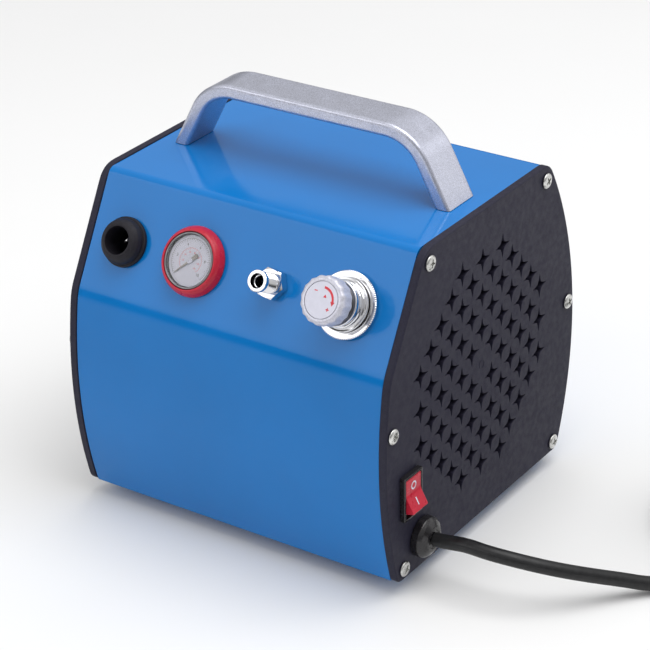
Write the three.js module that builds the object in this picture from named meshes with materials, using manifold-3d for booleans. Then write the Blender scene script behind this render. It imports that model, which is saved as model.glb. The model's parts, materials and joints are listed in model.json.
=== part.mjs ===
import * as THREE from 'three';
import { mergeVertices } from 'three/addons/utils/BufferGeometryUtils.js';
import Module from 'manifold-3d';

// A small piston compressor for an airbrush: a bent steel wrap between two moulded end plates, a
// carrying handle on top, the controls on a sloping panel, and the motor and pump inside.
// Millimetres, +Z up. The controls face -Y, and the mains lead leaves on the +X side.
// Inside the case group X is 0 at mid width, Y is 0 at the grille centre, Z is 0 under the case.

// ---- Driving dimensions -------------------------------------------------------------------------

const GAP = 0.3;
const DEGREE = Math.PI / 180;

const CASE_WIDTH = 181;
const CASE_HEIGHT = 161;
const FOOT_HEIGHT = 8;
// The middle of the footprint, measured in the case group, becomes the part's origin.
const FOOTPRINT_X = 2.9;
const FOOTPRINT_Y = -1.389;

// The case's side profile: two wide arcs, a straight sloping panel, a flat top and a flat bottom.
const FRONT_ARC = { y: 141.7, z: 64, radius: 225 };
const BACK_ARC = { y: -86.7, z: 67.5, radius: 175.5 };
const PANEL_TILT = 29 * DEGREE;
const PANEL_POINT = { y: -65.36, z: 132 };

const PLATE_THICKNESS = 4;
const PLATE_ROUNDING = { bend: 4.4, top: 7.5, back: 5.5 };
const BOTTOM_ROUNDING = 4;
const SHEET = 1.2;
const SHELL_INSET = 0.6;
const SHELL_ROUNDING = { bend: 4.4, top: 3, back: 3.5 };
const SHELL_HALF_WIDTH = CASE_WIDTH / 2 - PLATE_THICKNESS - GAP;

const STAR_PITCH = 9;
const STAR_TIP = 6.3;
const STAR_WAIST = 1.6;
const STAR_REACH = 6;
const STAR_CORNER_CUT = 8;
const GRILLE_Z = 81.9;

const SCREW_PLACES = [
  { y: -46.4, z: 153.5 },
  { y: 58, z: 153.6 },
  { y: -77.8, z: 80.6 },
  { y: 82, z: 79.8 },
  { y: -69, z: 6.2 },
  { y: 70.4, z: 5.8 },
];
const LOWEST_SHELL_SCREW = 50;
const SCREW_HEAD_RADIUS = 3.8;
const SCREW_HEAD_HEIGHT = 1.7;
const SCREW_SHANK_RADIUS = 1.9;
const SCREW_LENGTH = 8;

const HANDLE = { footHalf: 78, top: 196.8, lean: 27.9 * DEGREE, outerRadius: 26.4, thickness: 7 };
const HANDLE_WIDTH = 22.6;
const HANDLE_Y = 1.8;
const HANDLE_STUD_X = 74;

// The four fittings on the panel stand on one line across it.
const PANEL_LINE_Z = 132.4;
const HOLDER_X = -66.3;
const GAUGE_X = -25.9;
const OUTLET_X = 19.1;
const REGULATOR_X = 59.3;

const MOTOR = { y: 8, z: 58 };
const STATOR_RADIUS = 40;
const ROTOR_RADIUS = 22.4;
const SHAFT_RADIUS = 4;
const SLOT_COUNT = 6;
const CRANK_THROW = 5;
const ROD_LENGTH = 38;
const PUMP_X = -33.5;
const BORE_RADIUS = 15;

const SWITCH = { y: -64.4, z: 44.4, width: 15.5, height: 23, proud: 2.8, bodyWidth: 14, bodyHeight: 21.4 };
const ROCKER_TILT = 14 * DEGREE;
const GLAND = { y: -54, z: 16.5, proud: 7.5 };

const CORD_RADIUS = 3.5;
const FLOOR = -FOOT_HEIGHT;
const COIL = { x: 204, y: 72, inner: 31, outer: 45, height: 21.2, outerTurn: 41.5 };
const COIL_ENTRY = -43 * DEGREE;
const COIL_EXIT = 30 * DEGREE;
const PLUG = { radius: 18.5, start: 28, relief: 38, body: 34, pin: 19, spacing: 19 };

// ---- Materials ----------------------------------------------------------------------------------

const paintOf = (color, roughness, metalness) => new THREE.MeshStandardMaterial({ color, roughness, metalness });
const bluePaint = paintOf(0x2f7cc4, 0.18, 0.1);
const blackPlastic = paintOf(0x2b292c, 0.6, 0);
const blackRubber = paintOf(0x1d1c1d, 0.75, 0);
const silverPaint = paintOf(0xb4b3c0, 0.4, 0.5);
const zincSteel = paintOf(0xc4c4c8, 0.35, 1);
const chrome = paintOf(0xe3e3e6, 0.08, 1);
const darkSteel = paintOf(0x3a3a3c, 0.4, 0.8);
const redPlastic = paintOf(0xc9242f, 0.3, 0);
const whitePrint = paintOf(0xf1f1f1, 0.5, 0);
const clearLens = paintOf(0xf4f8fa, 0.05, 0);
const brass = paintOf(0xb89a55, 0.3, 1);
const castAluminium = paintOf(0xa6a8ab, 0.5, 0.9);
const copper = paintOf(0xb0623a, 0.4, 0.8);
const whitePlastic = paintOf(0xdedbd2, 0.45, 0);
const hosePlastic = paintOf(0x3d6ea8, 0.35, 0);

// ---- Solid helpers ------------------------------------------------------------------------------

const wasm = await Module();
wasm.setup();

function signedVolume(positions, index) {
  let total = 0;
  const corners = [new THREE.Vector3(), new THREE.Vector3(), new THREE.Vector3()];
  for (let i = 0; i < index.count; i += 3) {
    corners.forEach((corner, k) => corner.fromBufferAttribute(positions, index.getX(i + k)));
    total += corners[0].dot(corners[1].cross(corners[2]));
  }
  return total;
}

function solidOf(geometry) {
  const bare = geometry.clone();
  bare.deleteAttribute('normal');
  bare.deleteAttribute('uv');
  const merged = mergeVertices(bare, 1e-4);
  const triangles = [];
  const flipped = signedVolume(merged.attributes.position, merged.index) < 0;
  for (let i = 0; i < merged.index.count; i += 3) {
    const [a, b, c] = [0, 1, 2].map((k) => merged.index.getX(i + k));
    if (a !== b && b !== c && c !== a) triangles.push(...(flipped ? [a, c, b] : [a, b, c]));
  }
  const vertProperties = new Float32Array(merged.attributes.position.array);
  return new wasm.Manifold(new wasm.Mesh({ numProp: 3, vertProperties, triVerts: new Uint32Array(triangles) }));
}

function geometryOf(solid) {
  const mesh = solid.getMesh();
  const geometry = new THREE.BufferGeometry();
  geometry.setAttribute('position', new THREE.BufferAttribute(new Float32Array(mesh.vertProperties), 3));
  geometry.setIndex(new THREE.BufferAttribute(new Uint32Array(mesh.triVerts), 1));
  geometry.computeVertexNormals();
  return geometry;
}

const join = (...pieces) => geometryOf(pieces.map(solidOf).reduce((whole, next) => whole.add(next)));
const cut = (piece, ...tools) =>
  geometryOf(tools.map(solidOf).reduce((whole, tool) => whole.subtract(tool), solidOf(piece)));
const common = (piece, other) => geometryOf(solidOf(piece).intersect(solidOf(other)));

// A turned shape about +Z from [radius, height] pairs. A profile off the axis closes on itself.
function turned(profile, sides = 20) {
  const points = profile.map(([radius, height]) => new THREE.Vector2(radius, height));
  if (profile[0][0] > 0) points.push(points[0].clone());
  return geometryOf(solidOf(new THREE.LatheGeometry(points, sides).rotateX(Math.PI / 2)));
}

const rod = (radius, from, to, sides = 14) => turned([[0, from], [radius, from], [radius, to], [0, to]], sides);
const tubeRing = (inner, outer, from, to, sides = 20) =>
  turned([[inner, from], [outer, from], [outer, to], [inner, to]], sides);
const hexRod = (acrossFlats, from, to) => rod(acrossFlats / Math.sqrt(3), from, to, 6);

// A box from its lowest corner to its highest.
function block(low, high) {
  const size = high.map((value, i) => value - low[i]);
  const centre = high.map((value, i) => (value + low[i]) / 2);
  return new THREE.BoxGeometry(...size).translate(...centre);
}

function slab(shape, depth, curveSegments = 5) {
  return new THREE.ExtrudeGeometry(shape, { depth, curveSegments, bevelEnabled: false });
}

// Turns a shape made about +Z so that its +Z points along +X, its X along +Y and its Y along +Z.
const TO_X = new THREE.Matrix4().makeBasis(
  new THREE.Vector3(0, 1, 0), new THREE.Vector3(0, 0, 1), new THREE.Vector3(1, 0, 0));
const alongX = (geometry, y = 0, z = 0) => geometry.applyMatrix4(TO_X).translate(0, y, z);

// A plain tube with flat ends through the given points.
function hose(points, radius, steps, sides = 8) {
  const stops = points.map((point) => new THREE.Vector3(...point));
  const path = new THREE.CatmullRomCurve3(stops, false, 'centripetal');
  const section = new THREE.Shape();
  for (let i = 0; i < sides; i += 1) {
    const angle = (2 * Math.PI * i) / sides;
    section[i ? 'lineTo' : 'moveTo'](radius * Math.cos(angle), radius * Math.sin(angle));
  }
  return new THREE.ExtrudeGeometry(section, { steps, bevelEnabled: false, extrudePath: path });
}

const compressor = new THREE.Group();
const caseGroup = new THREE.Group();
caseGroup.position.set(-FOOTPRINT_X, -FOOTPRINT_Y, FOOT_HEIGHT);
compressor.add(caseGroup);

function piece(name, geometry, material, parent = caseGroup) {
  const mesh = new THREE.Mesh(geometryOf(solidOf(geometry)), material);
  mesh.name = name;
  parent.add(mesh);
  return mesh;
}

// A group on the sloping panel: local +Z points out of the panel, and local +Y up along it.
const PANEL_OUT = new THREE.Vector3(0, -Math.cos(PANEL_TILT), Math.sin(PANEL_TILT));
const PANEL_UP = new THREE.Vector3(0, Math.sin(PANEL_TILT), Math.cos(PANEL_TILT));

function panelPoint(x, up = 0, out = 0) {
  const along = (PANEL_LINE_Z - PANEL_POINT.z) / PANEL_UP.z;
  return new THREE.Vector3(x, PANEL_POINT.y, PANEL_POINT.z)
    .addScaledVector(PANEL_UP, along + up)
    .addScaledVector(PANEL_OUT, out - SHELL_INSET);
}

function panelGroup(x) {
  const group = new THREE.Group();
  group.position.copy(panelPoint(x));
  group.rotation.x = Math.PI / 2 - PANEL_TILT;
  caseGroup.add(group);
  return group;
}

// ---- Case profile -------------------------------------------------------------------------------

const frontY = (z, inset) =>
  FRONT_ARC.y - Math.sqrt((FRONT_ARC.radius - inset) ** 2 - (z - FRONT_ARC.z) ** 2);
const backY = (z, inset) =>
  BACK_ARC.y + Math.sqrt((BACK_ARC.radius - inset) ** 2 - (z - BACK_ARC.z) ** 2);

// The profile from low on the front, over the top, to low on the back, as a path of (y, z) points.
function wrapPath(inset, rounding, foot) {
  const front = FRONT_ARC.radius - inset;
  const back = BACK_ARC.radius - inset;
  const top = CASE_HEIGHT - inset;
  const up = new THREE.Vector2(Math.sin(PANEL_TILT), Math.cos(PANEL_TILT));
  const base = new THREE.Vector2(PANEL_POINT.y + inset * up.y, PANEL_POINT.z - inset * up.x);

  // Where the panel's line meets the front arc.
  const fromCentre = base.clone().sub(new THREE.Vector2(FRONT_ARC.y, FRONT_ARC.z));
  const along = fromCentre.dot(up);
  const reach = -along - Math.sqrt(along ** 2 - fromCentre.lengthSq() + front ** 2);
  const bend = base.clone().addScaledVector(up, reach);
  const topFront = base.clone().addScaledVector(up, (top - base.y) / up.y);
  const topBack = new THREE.Vector2(backY(top, inset), top);

  const path = new THREE.Path();
  const startAngle = Math.PI + Math.asin((FRONT_ARC.z - foot) / front);
  const bendAngle = Math.PI - Math.asin((bend.y - FRONT_ARC.z) / front) + rounding.bend / front;
  path.absarc(FRONT_ARC.y, FRONT_ARC.z, front, startAngle, bendAngle, true);
  const afterBend = bend.clone().addScaledVector(up, rounding.bend);
  path.quadraticCurveTo(bend.x, bend.y, afterBend.x, afterBend.y);
  const beforeTop = topFront.clone().addScaledVector(up, -rounding.top);
  path.lineTo(beforeTop.x, beforeTop.y);
  path.quadraticCurveTo(topFront.x, topFront.y, topFront.x + rounding.top, top);
  path.lineTo(topBack.x - rounding.back, top);
  const backTopAngle = Math.asin((top - BACK_ARC.z) / back) - rounding.back / back;
  path.quadraticCurveTo(
    topBack.x, topBack.y,
    BACK_ARC.y + back * Math.cos(backTopAngle), BACK_ARC.z + back * Math.sin(backTopAngle));
  path.absarc(BACK_ARC.y, BACK_ARC.z, back, backTopAngle, -Math.asin((BACK_ARC.z - foot) / back), true);
  return path;
}

function caseOutline(inset, rounding) {
  const path = wrapPath(inset, rounding, inset + BOTTOM_ROUNDING);
  const shape = new THREE.Shape();
  shape.curves = path.curves;
  shape.currentPoint.copy(path.currentPoint);
  const back = backY(inset, inset);
  const front = frontY(inset, inset);
  shape.quadraticCurveTo(back, inset, back - BOTTOM_ROUNDING, inset);
  shape.lineTo(front + BOTTOM_ROUNDING, inset);
  shape.quadraticCurveTo(front, inset, frontY(inset + BOTTOM_ROUNDING, inset), inset + BOTTOM_ROUNDING);
  return shape;
}

// ---- Case ---------------------------------------------------------------------------------------

const screwHole = (place, from, to) =>
  alongX(rod(SCREW_SHANK_RADIUS + GAP, from, to, 10), place.y, place.z);

// Bent tabs behind both end plates that take a screw, trimmed to the sheet's own outline.
function screwTabs(place, halfSize, inset) {
  const inner = SHELL_HALF_WIDTH - SHEET;
  const outline = alongX(slab(caseOutline(inset, SHELL_ROUNDING), CASE_WIDTH)).translate(-CASE_WIDTH / 2, 0, 0);
  return [[-SHELL_HALF_WIDTH, -inner], [inner, SHELL_HALF_WIDTH]].map(([low, high]) => {
    const square = block(
      [low, place.y - halfSize, place.z - halfSize],
      [high, place.y + halfSize, place.z + halfSize]);
    return common(square, outline);
  });
}

function makeShell() {
  const outside = wrapPath(SHELL_INSET, SHELL_ROUNDING, SHELL_INSET).getPoints(5);
  const inside = wrapPath(SHELL_INSET + SHEET, SHELL_ROUNDING, SHELL_INSET).getPoints(5).reverse();
  const sheet = slab(new THREE.Shape([...outside, ...inside]), 2 * SHELL_HALF_WIDTH);
  const wrap = alongX(sheet).translate(-SHELL_HALF_WIDTH, 0, 0);
  const tabs = [];
  const holes = [];
  for (const place of SCREW_PLACES.filter(({ z }) => z > LOWEST_SHELL_SCREW)) {
    tabs.push(...screwTabs(place, 9, SHELL_INSET + SHEET / 2));
    holes.push(screwHole(place, -CASE_WIDTH / 2, CASE_WIDTH / 2));
  }
  const openings = [
    { x: HOLDER_X, radius: 9.2 },
    { x: GAUGE_X, radius: 13.9 },
    { x: OUTLET_X, radius: 5.3 },
    { x: REGULATOR_X, radius: 10.8 },
  ];
  for (const { x, radius } of openings) {
    const hole = rod(radius, -6, 6, 24).rotateX(Math.PI / 2 - PANEL_TILT);
    holes.push(hole.translate(...panelPoint(x)));
  }
  for (const side of [-1, 1]) {
    holes.push(rod(2.4, CASE_HEIGHT - 5, CASE_HEIGHT + 2, 12).translate(side * HANDLE_STUD_X, HANDLE_Y, 0));
  }
  return cut(join(wrap, ...tabs), ...holes);
}

function makeBase() {
  const outer = SHELL_INSET + SHEET + 2 * GAP;
  const inner = outer + SHEET;
  const flangeTop = 12;
  const levels = [flangeTop, 6, 0];
  const shape = new THREE.Shape([
    ...levels.map((z) => new THREE.Vector2(frontY(z, outer), z)),
    ...levels.toReversed().map((z) => new THREE.Vector2(backY(z, outer), z)),
    ...[flangeTop, 6, SHEET].map((z) => new THREE.Vector2(backY(z, inner), z)),
    ...[SHEET, 6, flangeTop].map((z) => new THREE.Vector2(frontY(z, inner), z)),
  ]);
  const sheet = alongX(slab(shape, 2 * SHELL_HALF_WIDTH)).translate(-SHELL_HALF_WIDTH, 0, 0);
  const tabs = [];
  const holes = [];
  for (const place of SCREW_PLACES.filter(({ z }) => z < LOWEST_SHELL_SCREW)) {
    tabs.push(...screwTabs(place, 6, outer));
    holes.push(screwHole(place, -CASE_WIDTH / 2, CASE_WIDTH / 2));
  }
  return cut(join(sheet, ...tabs), ...holes);
}

// A four-pointed star hole, its tips up, down, to the front and to the back.
function starPath(y, z) {
  const points = [];
  for (let i = 0; i < 8; i += 1) {
    const reach = i % 2 ? STAR_WAIST * Math.SQRT2 : STAR_TIP;
    const angle = (i * Math.PI) / 4;
    points.push(new THREE.Vector2(y + reach * Math.cos(angle), z + reach * Math.sin(angle)));
  }
  return new THREE.Path(points);
}

function makeEndPlate(withFittings) {
  const shape = caseOutline(0, PLATE_ROUNDING);
  for (let j = -STAR_REACH; j <= STAR_REACH; j += 1) {
    for (let k = -STAR_REACH; k <= STAR_REACH; k += 1) {
      const inField = Math.abs(j) + Math.abs(k) <= STAR_CORNER_CUT && (j + k) % 2 === 0;
      if (inField && (j || k)) shape.holes.push(starPath(j * STAR_PITCH, GRILLE_Z + k * STAR_PITCH));
    }
  }
  const plate = alongX(slab(shape, PLATE_THICKNESS));
  const holes = SCREW_PLACES.map((place) => screwHole(place, -1, PLATE_THICKNESS + 1));
  if (withFittings) {
    const { y, z } = SWITCH;
    const halfWidth = SWITCH.bodyWidth / 2 + GAP;
    const halfHeight = SWITCH.bodyHeight / 2 + GAP;
    holes.push(block([-1, y - halfWidth, z - halfHeight], [PLATE_THICKNESS + 1, y + halfWidth, z + halfHeight]));
    holes.push(alongX(rod(6.6, -1, PLATE_THICKNESS + 1, 20), GLAND.y, GLAND.z));
  }
  return cut(plate, ...holes);
}

function makeScrew() {
  return turned([
    [0, -SCREW_LENGTH],
    [SCREW_SHANK_RADIUS, -SCREW_LENGTH],
    [SCREW_SHANK_RADIUS, GAP],
    [SCREW_HEAD_RADIUS, GAP],
    [SCREW_HEAD_RADIUS - 1.2, SCREW_HEAD_HEIGHT],
    [0, SCREW_HEAD_HEIGHT],
  ], 10);
}

function addCase() {
  piece('case_shell', makeShell(), bluePaint);
  piece('base_plate', makeBase(), bluePaint);
  for (const [sideName, side] of [['right', 1], ['left', -1]]) {
    const isRight = side > 0;
    const plate = piece(`side_plate_${sideName}`, makeEndPlate(isRight), blackPlastic);
    plate.position.x = isRight ? CASE_WIDTH / 2 - PLATE_THICKNESS : -CASE_WIDTH / 2;
    SCREW_PLACES.forEach((place, i) => {
      const screw = makeScrew();
      if (!isRight) screw.rotateX(Math.PI);
      const mesh = piece(`plate_screw_${sideName}_${i + 1}`, alongX(screw), zincSteel);
      mesh.position.set((side * CASE_WIDTH) / 2, place.y, place.z);
    });
  }
  for (const [xName, x] of [['left', -74], ['right', 74]]) {
    for (const [yName, y] of [['front', -50], ['back', 56]]) {
      const foot = turned([[0, FLOOR], [8, FLOOR], [7.4, -GAP], [0, -GAP]], 16);
      piece(`foot_${yName}_${xName}`, foot, blackRubber).position.set(x, y, 0);
    }
  }
}

// ---- Handle -------------------------------------------------------------------------------------

// One side of the handle's arch at a given depth into the bar, from its foot to the top.
function archPath(depth, foot) {
  const { footHalf, top, lean, outerRadius } = HANDLE;
  const radius = outerRadius - depth;
  const run = radius * Math.tan((Math.PI / 2 - lean) / 2);
  const leg = (z) => footHalf - (z - foot) * Math.tan(lean) - depth / Math.cos(lean);
  const height = top - depth;
  const cornerX = leg(height);
  const points = [new THREE.Vector2(leg(foot), foot)];
  const centre = new THREE.Vector2(cornerX - run, height - radius);
  const steps = 6;
  for (let i = 0; i <= steps; i += 1) {
    const angle = lean + ((Math.PI / 2 - lean) * i) / steps;
    points.push(new THREE.Vector2(centre.x + radius * Math.cos(angle), centre.y + radius * Math.sin(angle)));
  }
  return points;
}

const mirrored = (points) => points.map((point) => new THREE.Vector2(-point.x, point.y)).reverse();

function addHandle() {
  const foot = CASE_HEIGHT - SHELL_INSET + GAP;
  const outer = archPath(0, foot);
  const inner = archPath(HANDLE.thickness, foot);
  const innerBack = [...mirrored(inner).reverse(), ...inner.reverse()];
  const shape = new THREE.Shape([...outer, ...mirrored(outer), ...innerBack]);
  const edge = 1.8;
  const bar = new THREE.ExtrudeGeometry(shape, {
    depth: HANDLE_WIDTH - 2 * edge,
    bevelThickness: edge,
    bevelSize: edge,
    bevelOffset: -edge,
    bevelSegments: 1,
  });
  bar.rotateX(Math.PI / 2).translate(0, HANDLE_Y + HANDLE_WIDTH / 2 - edge, 0);
  const studs = [-1, 1].map((side) =>
    rod(2, foot - 9, foot + 3.5, 12).translate(side * HANDLE_STUD_X, HANDLE_Y, 0));
  piece('handle', join(bar, ...studs), silverPaint);
  for (const [name, side] of [['left', -1], ['right', 1]]) {
    const top = CASE_HEIGHT - SHELL_INSET - SHEET - GAP;
    const nut = cut(hexRod(7, top - 3.2, top), rod(2 + GAP, top - 5, top + 1, 12));
    piece(`handle_nut_${name}`, nut, zincSteel).position.set(side * HANDLE_STUD_X, HANDLE_Y, 0);
  }
}

// ---- Panel fittings -----------------------------------------------------------------------------

function addHolder() {
  const grommet = turned([
    [6.8, -4.5], [10.8, -4.5], [10.8, -SHEET - GAP], [8.9, -SHEET - GAP], [8.9, GAP], [12.1, GAP],
    [12.1, 2.2], [10.9, 2.6], [10.4, 5.4], [9.2, 7.4], [7.6, 8.3], [6.8, 8.3],
  ], 22);
  piece('holder_grommet', grommet, blackRubber, panelGroup(HOLDER_X));
}

const GAUGE = { case: 13.4, cup: 12.4, bezel: 16.8 };
const NEEDLE_REST = 225 * DEGREE;

function addGauge() {
  const gauge = panelGroup(GAUGE_X);
  const bezel = turned([
    [GAUGE.case + GAP, GAP], [GAUGE.bezel, GAP], [16.5, 2.6], [15.7, 4.6], [14.6, 6], [GAUGE.case + GAP, 6],
  ], 28);
  piece('gauge_bezel', bezel, redPlastic, gauge);
  const shellOfCase = turned([
    [0, -16], [GAUGE.case, -16], [GAUGE.case, 5.8], [GAUGE.cup, 5.8], [GAUGE.cup, -13], [0, -13],
  ], 24);
  piece('gauge_case', join(shellOfCase, hexRod(10, -21, -15.5), rod(3.6, -25, -20.5, 12)), darkSteel, gauge);
  const dial = tubeRing(1, GAUGE.cup - GAP, 3.2, 3.7, 20);
  piece('gauge_dial', dial, whitePrint, gauge);

  // The needle turns on a pin through the dial, with a wide tail behind the hub.
  const blade = new THREE.Shape();
  blade.moveTo(0, -0.55);
  blade.lineTo(9.6, -0.15);
  blade.lineTo(9.6, 0.15);
  blade.lineTo(0, 0.55);
  blade.lineTo(-4.6, 1.1);
  blade.lineTo(-4.6, -1.1);
  blade.closePath();
  const pointer = slab(blade, 0.4).translate(0, 0, 4.05).rotateZ(NEEDLE_REST);
  const needle = join(pointer, rod(1.5, 4.05, 4.65, 12), rod(0.6, 0, 4.2, 8));
  piece('gauge_needle', needle, brass, gauge);
  piece('gauge_lens', rod(GAUGE.cup - GAP, 4.95, 5.5, 24), clearLens, gauge);
}

function addOutlet() {
  const outlet = panelGroup(OUTLET_X);
  const nipple = turned([
    [2.75, -18], [3.3, -18], [3.3, -12], [4.86, -12], [4.86, 13.4], [5.1, 13.5], [5.1, 15.5], [3.45, 15.5],
    [3.45, 13], [2.75, 13],
  ], 18);
  const hex = cut(hexRod(13.2, GAP, 5.2), rod(4, -1, 6, 12)).rotateZ(-8 * DEGREE);
  piece('outlet_fitting', join(nipple, hex), chrome, outlet);
  const nut = cut(hexRod(13, -SHEET - GAP - 3, -SHEET - GAP), rod(4.86 + GAP, -8, 1, 18));
  piece('outlet_nut', nut, brass, outlet);
}

const KNOB = { radius: 11.4, back: 16, front: 24.5, flutes: 16, fluteDepth: 0.5 };

// A round outline with shallow flutes, three points to each.
function flutedShape() {
  const points = [];
  const steps = 3 * KNOB.flutes;
  for (let i = 0; i < steps; i += 1) {
    const angle = (2 * Math.PI * i) / steps;
    const dip = (KNOB.fluteDepth / 2) * (1 - Math.cos(KNOB.flutes * angle));
    const radius = KNOB.radius - dip;
    points.push(new THREE.Vector2(radius * Math.cos(angle), radius * Math.sin(angle)));
  }
  return new THREE.Shape(points);
}

function addRegulator() {
  const regulator = panelGroup(REGULATOR_X);
  const body = join(block([-12, -12, -28], [12, 12, -6]), rod(10.4, -6.5, 3, 24));
  piece('regulator_body', cut(body, rod(5.2, -22, 4, 20)), brass, regulator);
  piece('regulator_ring', tubeRing(10.8, 15.8, GAP, 3.2, 32), chrome, regulator);
  const sleeve = turned([[4.6, 3.6], [12.5, 3.6], [12.5, 5], [11, 5.2], [11, 12.3], [4.6, 12.3]], 24);
  piece('regulator_sleeve', sleeve, chrome, regulator);
  const spindle = turned([
    [0, -18], [4, -18], [4, 12.6], [9.2, 12.6], [9.2, 15.6], [4, 15.6], [4, 21.2], [0, 21.2],
  ]);
  piece('regulator_spindle', spindle, darkSteel, regulator);
  const knob = slab(flutedShape(), KNOB.front - KNOB.back).translate(0, 0, KNOB.back);
  const recess = rod(8.6, KNOB.front - 0.8, KNOB.front + 1, 24);
  piece('regulator_knob', cut(knob, recess, rod(4.3, KNOB.back - 1, 21.5, 20)), silverPaint, regulator);
  piece('knob_label', rod(8.3, KNOB.front - 0.5, KNOB.front, 24), whitePrint, regulator);
}

// ---- Switch and cord gland ----------------------------------------------------------------------

const ROCKER_PIVOT_X = CASE_WIDTH / 2 - 2;

function addSwitch() {
  const { y, z, width, height, bodyWidth, bodyHeight } = SWITCH;
  const face = CASE_WIDTH / 2 + SWITCH.proud;
  const plateFace = CASE_WIDTH / 2 + GAP;
  const pillar = (across, tall, from, to) =>
    block([from, y - across / 2, z - tall / 2], [to, y + across / 2, z + tall / 2]);
  const bezel = pillar(width, height, plateFace, face);
  const body = pillar(bodyWidth, bodyHeight, 68, plateFace + 0.5);
  const pocket = pillar(bodyWidth - 1, bodyHeight - 1.2, 79, face + 1);
  const terminals = [-5, 5].map((offset) =>
    block([60, y - 2.4, z + offset - 0.4], [68.5, y + 2.4, z + offset + 0.4]));
  piece('switch_housing', join(cut(join(bezel, body), pocket), ...terminals), blackPlastic);

  // The rocker's section: two flat faces that rise from the middle to each end.
  const reach = 8.4;
  const middle = 4.8;
  const rise = middle + reach * Math.tan(ROCKER_TILT);
  const section = new THREE.Shape();
  section.moveTo(-2, 3);
  section.lineTo(-2, -3);
  section.lineTo(1.6, -reach);
  section.lineTo(rise, -reach);
  section.lineTo(middle, 0);
  section.lineTo(rise, reach);
  section.lineTo(1.6, reach);
  section.closePath();
  const rockerWidth = bodyWidth - 1 - 2 * GAP;
  const rocker = slab(section, rockerWidth).rotateX(Math.PI / 2).translate(0, rockerWidth / 2, 0);
  piece('switch_rocker', rocker.rotateY(-ROCKER_TILT), redPlastic).position.set(ROCKER_PIVOT_X, y, z);
}

function addGland() {
  const face = CASE_WIDTH / 2;
  const gland = turned([
    [0, face - 15], [4.8, face - 15], [6.3, face + GAP], [10, face + GAP], [10, face + 4], [8.6, face + 6],
    [6, face + 7.3], [5, face + GLAND.proud], [0, face + GLAND.proud],
  ], 20);
  piece('cord_gland', alongX(gland, GLAND.y, GLAND.z), blackRubber);
}

// ---- Cord, coil and plug ------------------------------------------------------------------------

// The lead's route from the gland down to the floor. From there it runs straight to the coil.
const CORD_ROUTE = [
  [CASE_WIDTH / 2 + GLAND.proud + GAP, GLAND.y, GLAND.z],
  [102.3, -54, 16.6],
  [108, -54, 17.7],
  [115, -53.9, 18.8],
  [126, -53.5, 18.6],
  [136.5, -51.2, 17.6],
  [146, -46.8, 15.4],
  [155, -40.4, 12.2],
  [163.4, -32.6, 8.5],
  [170.4, -24.8, 4.9],
  [177.4, -17, 1.4],
  [185, -9.1, -2.1],
  [193.4, -0.2, FLOOR + CORD_RADIUS + GAP],
];

// The point where the outer turn reaches an angle round the coil, moved along the turn's tangent.
function onOuterTurn(angle, along) {
  return [
    COIL.x + COIL.outerTurn * Math.cos(angle) - along * Math.sin(angle),
    COIL.y + COIL.outerTurn * Math.sin(angle) + along * Math.cos(angle),
  ];
}

function addCord() {
  const nearSide = COIL.outerTurn - CORD_RADIUS;
  const stopShort = Math.sqrt((COIL.outer + GAP) ** 2 - nearSide ** 2);
  const end = [...onOuterTurn(COIL_ENTRY, -stopShort), FLOOR + CORD_RADIUS + GAP];
  piece('power_cord', hose([...CORD_ROUTE, end], CORD_RADIUS, 14, 8), blackRubber);

  const { inner, outer, height } = COIL;
  const bevel = 2.5;
  const ring = turned([
    [inner, 0.1], [outer - bevel, 0.1], [outer, bevel], [outer, height - bevel], [outer - bevel, height],
    [inner, height],
  ], 28);
  piece('cord_coil', ring, blackRubber).position.set(COIL.x, COIL.y, FLOOR);

  // The plug lies along the tangent on which the last turn leaves the coil.
  const plug = new THREE.Group();
  plug.position.set(...onOuterTurn(COIL_EXIT, 0), FLOOR + PLUG.radius + 0.2);
  plug.rotation.z = COIL_EXIT + Math.PI / 2;
  caseGroup.add(plug);
  const neck = PLUG.start + PLUG.relief;
  const face = neck + PLUG.body;
  const body = turned([
    [0, PLUG.start], [4.5, PLUG.start], [7, neck - 3], [12, neck], [16.5, neck + 5], [PLUG.radius, neck + 12],
    [PLUG.radius, face], [0, face],
  ], 18);
  piece('plug_body', alongX(body), blackPlastic, plug);
  for (const [name, side] of [['left', 1], ['right', -1]]) {
    const from = face + GAP;
    const to = from + PLUG.pin;
    const pin = turned([[0, from], [2.4, from], [2.4, to - 2], [1.4, to], [0, to]], 10);
    piece(`plug_pin_${name}`, alongX(pin), zincSteel, plug).position.y = (side * PLUG.spacing) / 2;
  }
}

// ---- Motor --------------------------------------------------------------------------------------

const STATOR = { from: 8, to: 44 };
const SLOT = { inner: 26, outer: 32, halfWidth: 4 };
const WINDING = { inner: 24.5, outer: 34, overhang: 7 };

// One box per slot of the stator, grown or shrunk by a margin.
function slotBars(from, to, margin) {
  const bars = [];
  for (let i = 0; i < SLOT_COUNT; i += 1) {
    const bar = block(
      [SLOT.inner - margin, -SLOT.halfWidth - margin, from],
      [SLOT.outer + margin, SLOT.halfWidth + margin, to]);
    bars.push(bar.rotateZ((2 * Math.PI * i) / SLOT_COUNT));
  }
  return bars;
}

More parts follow.
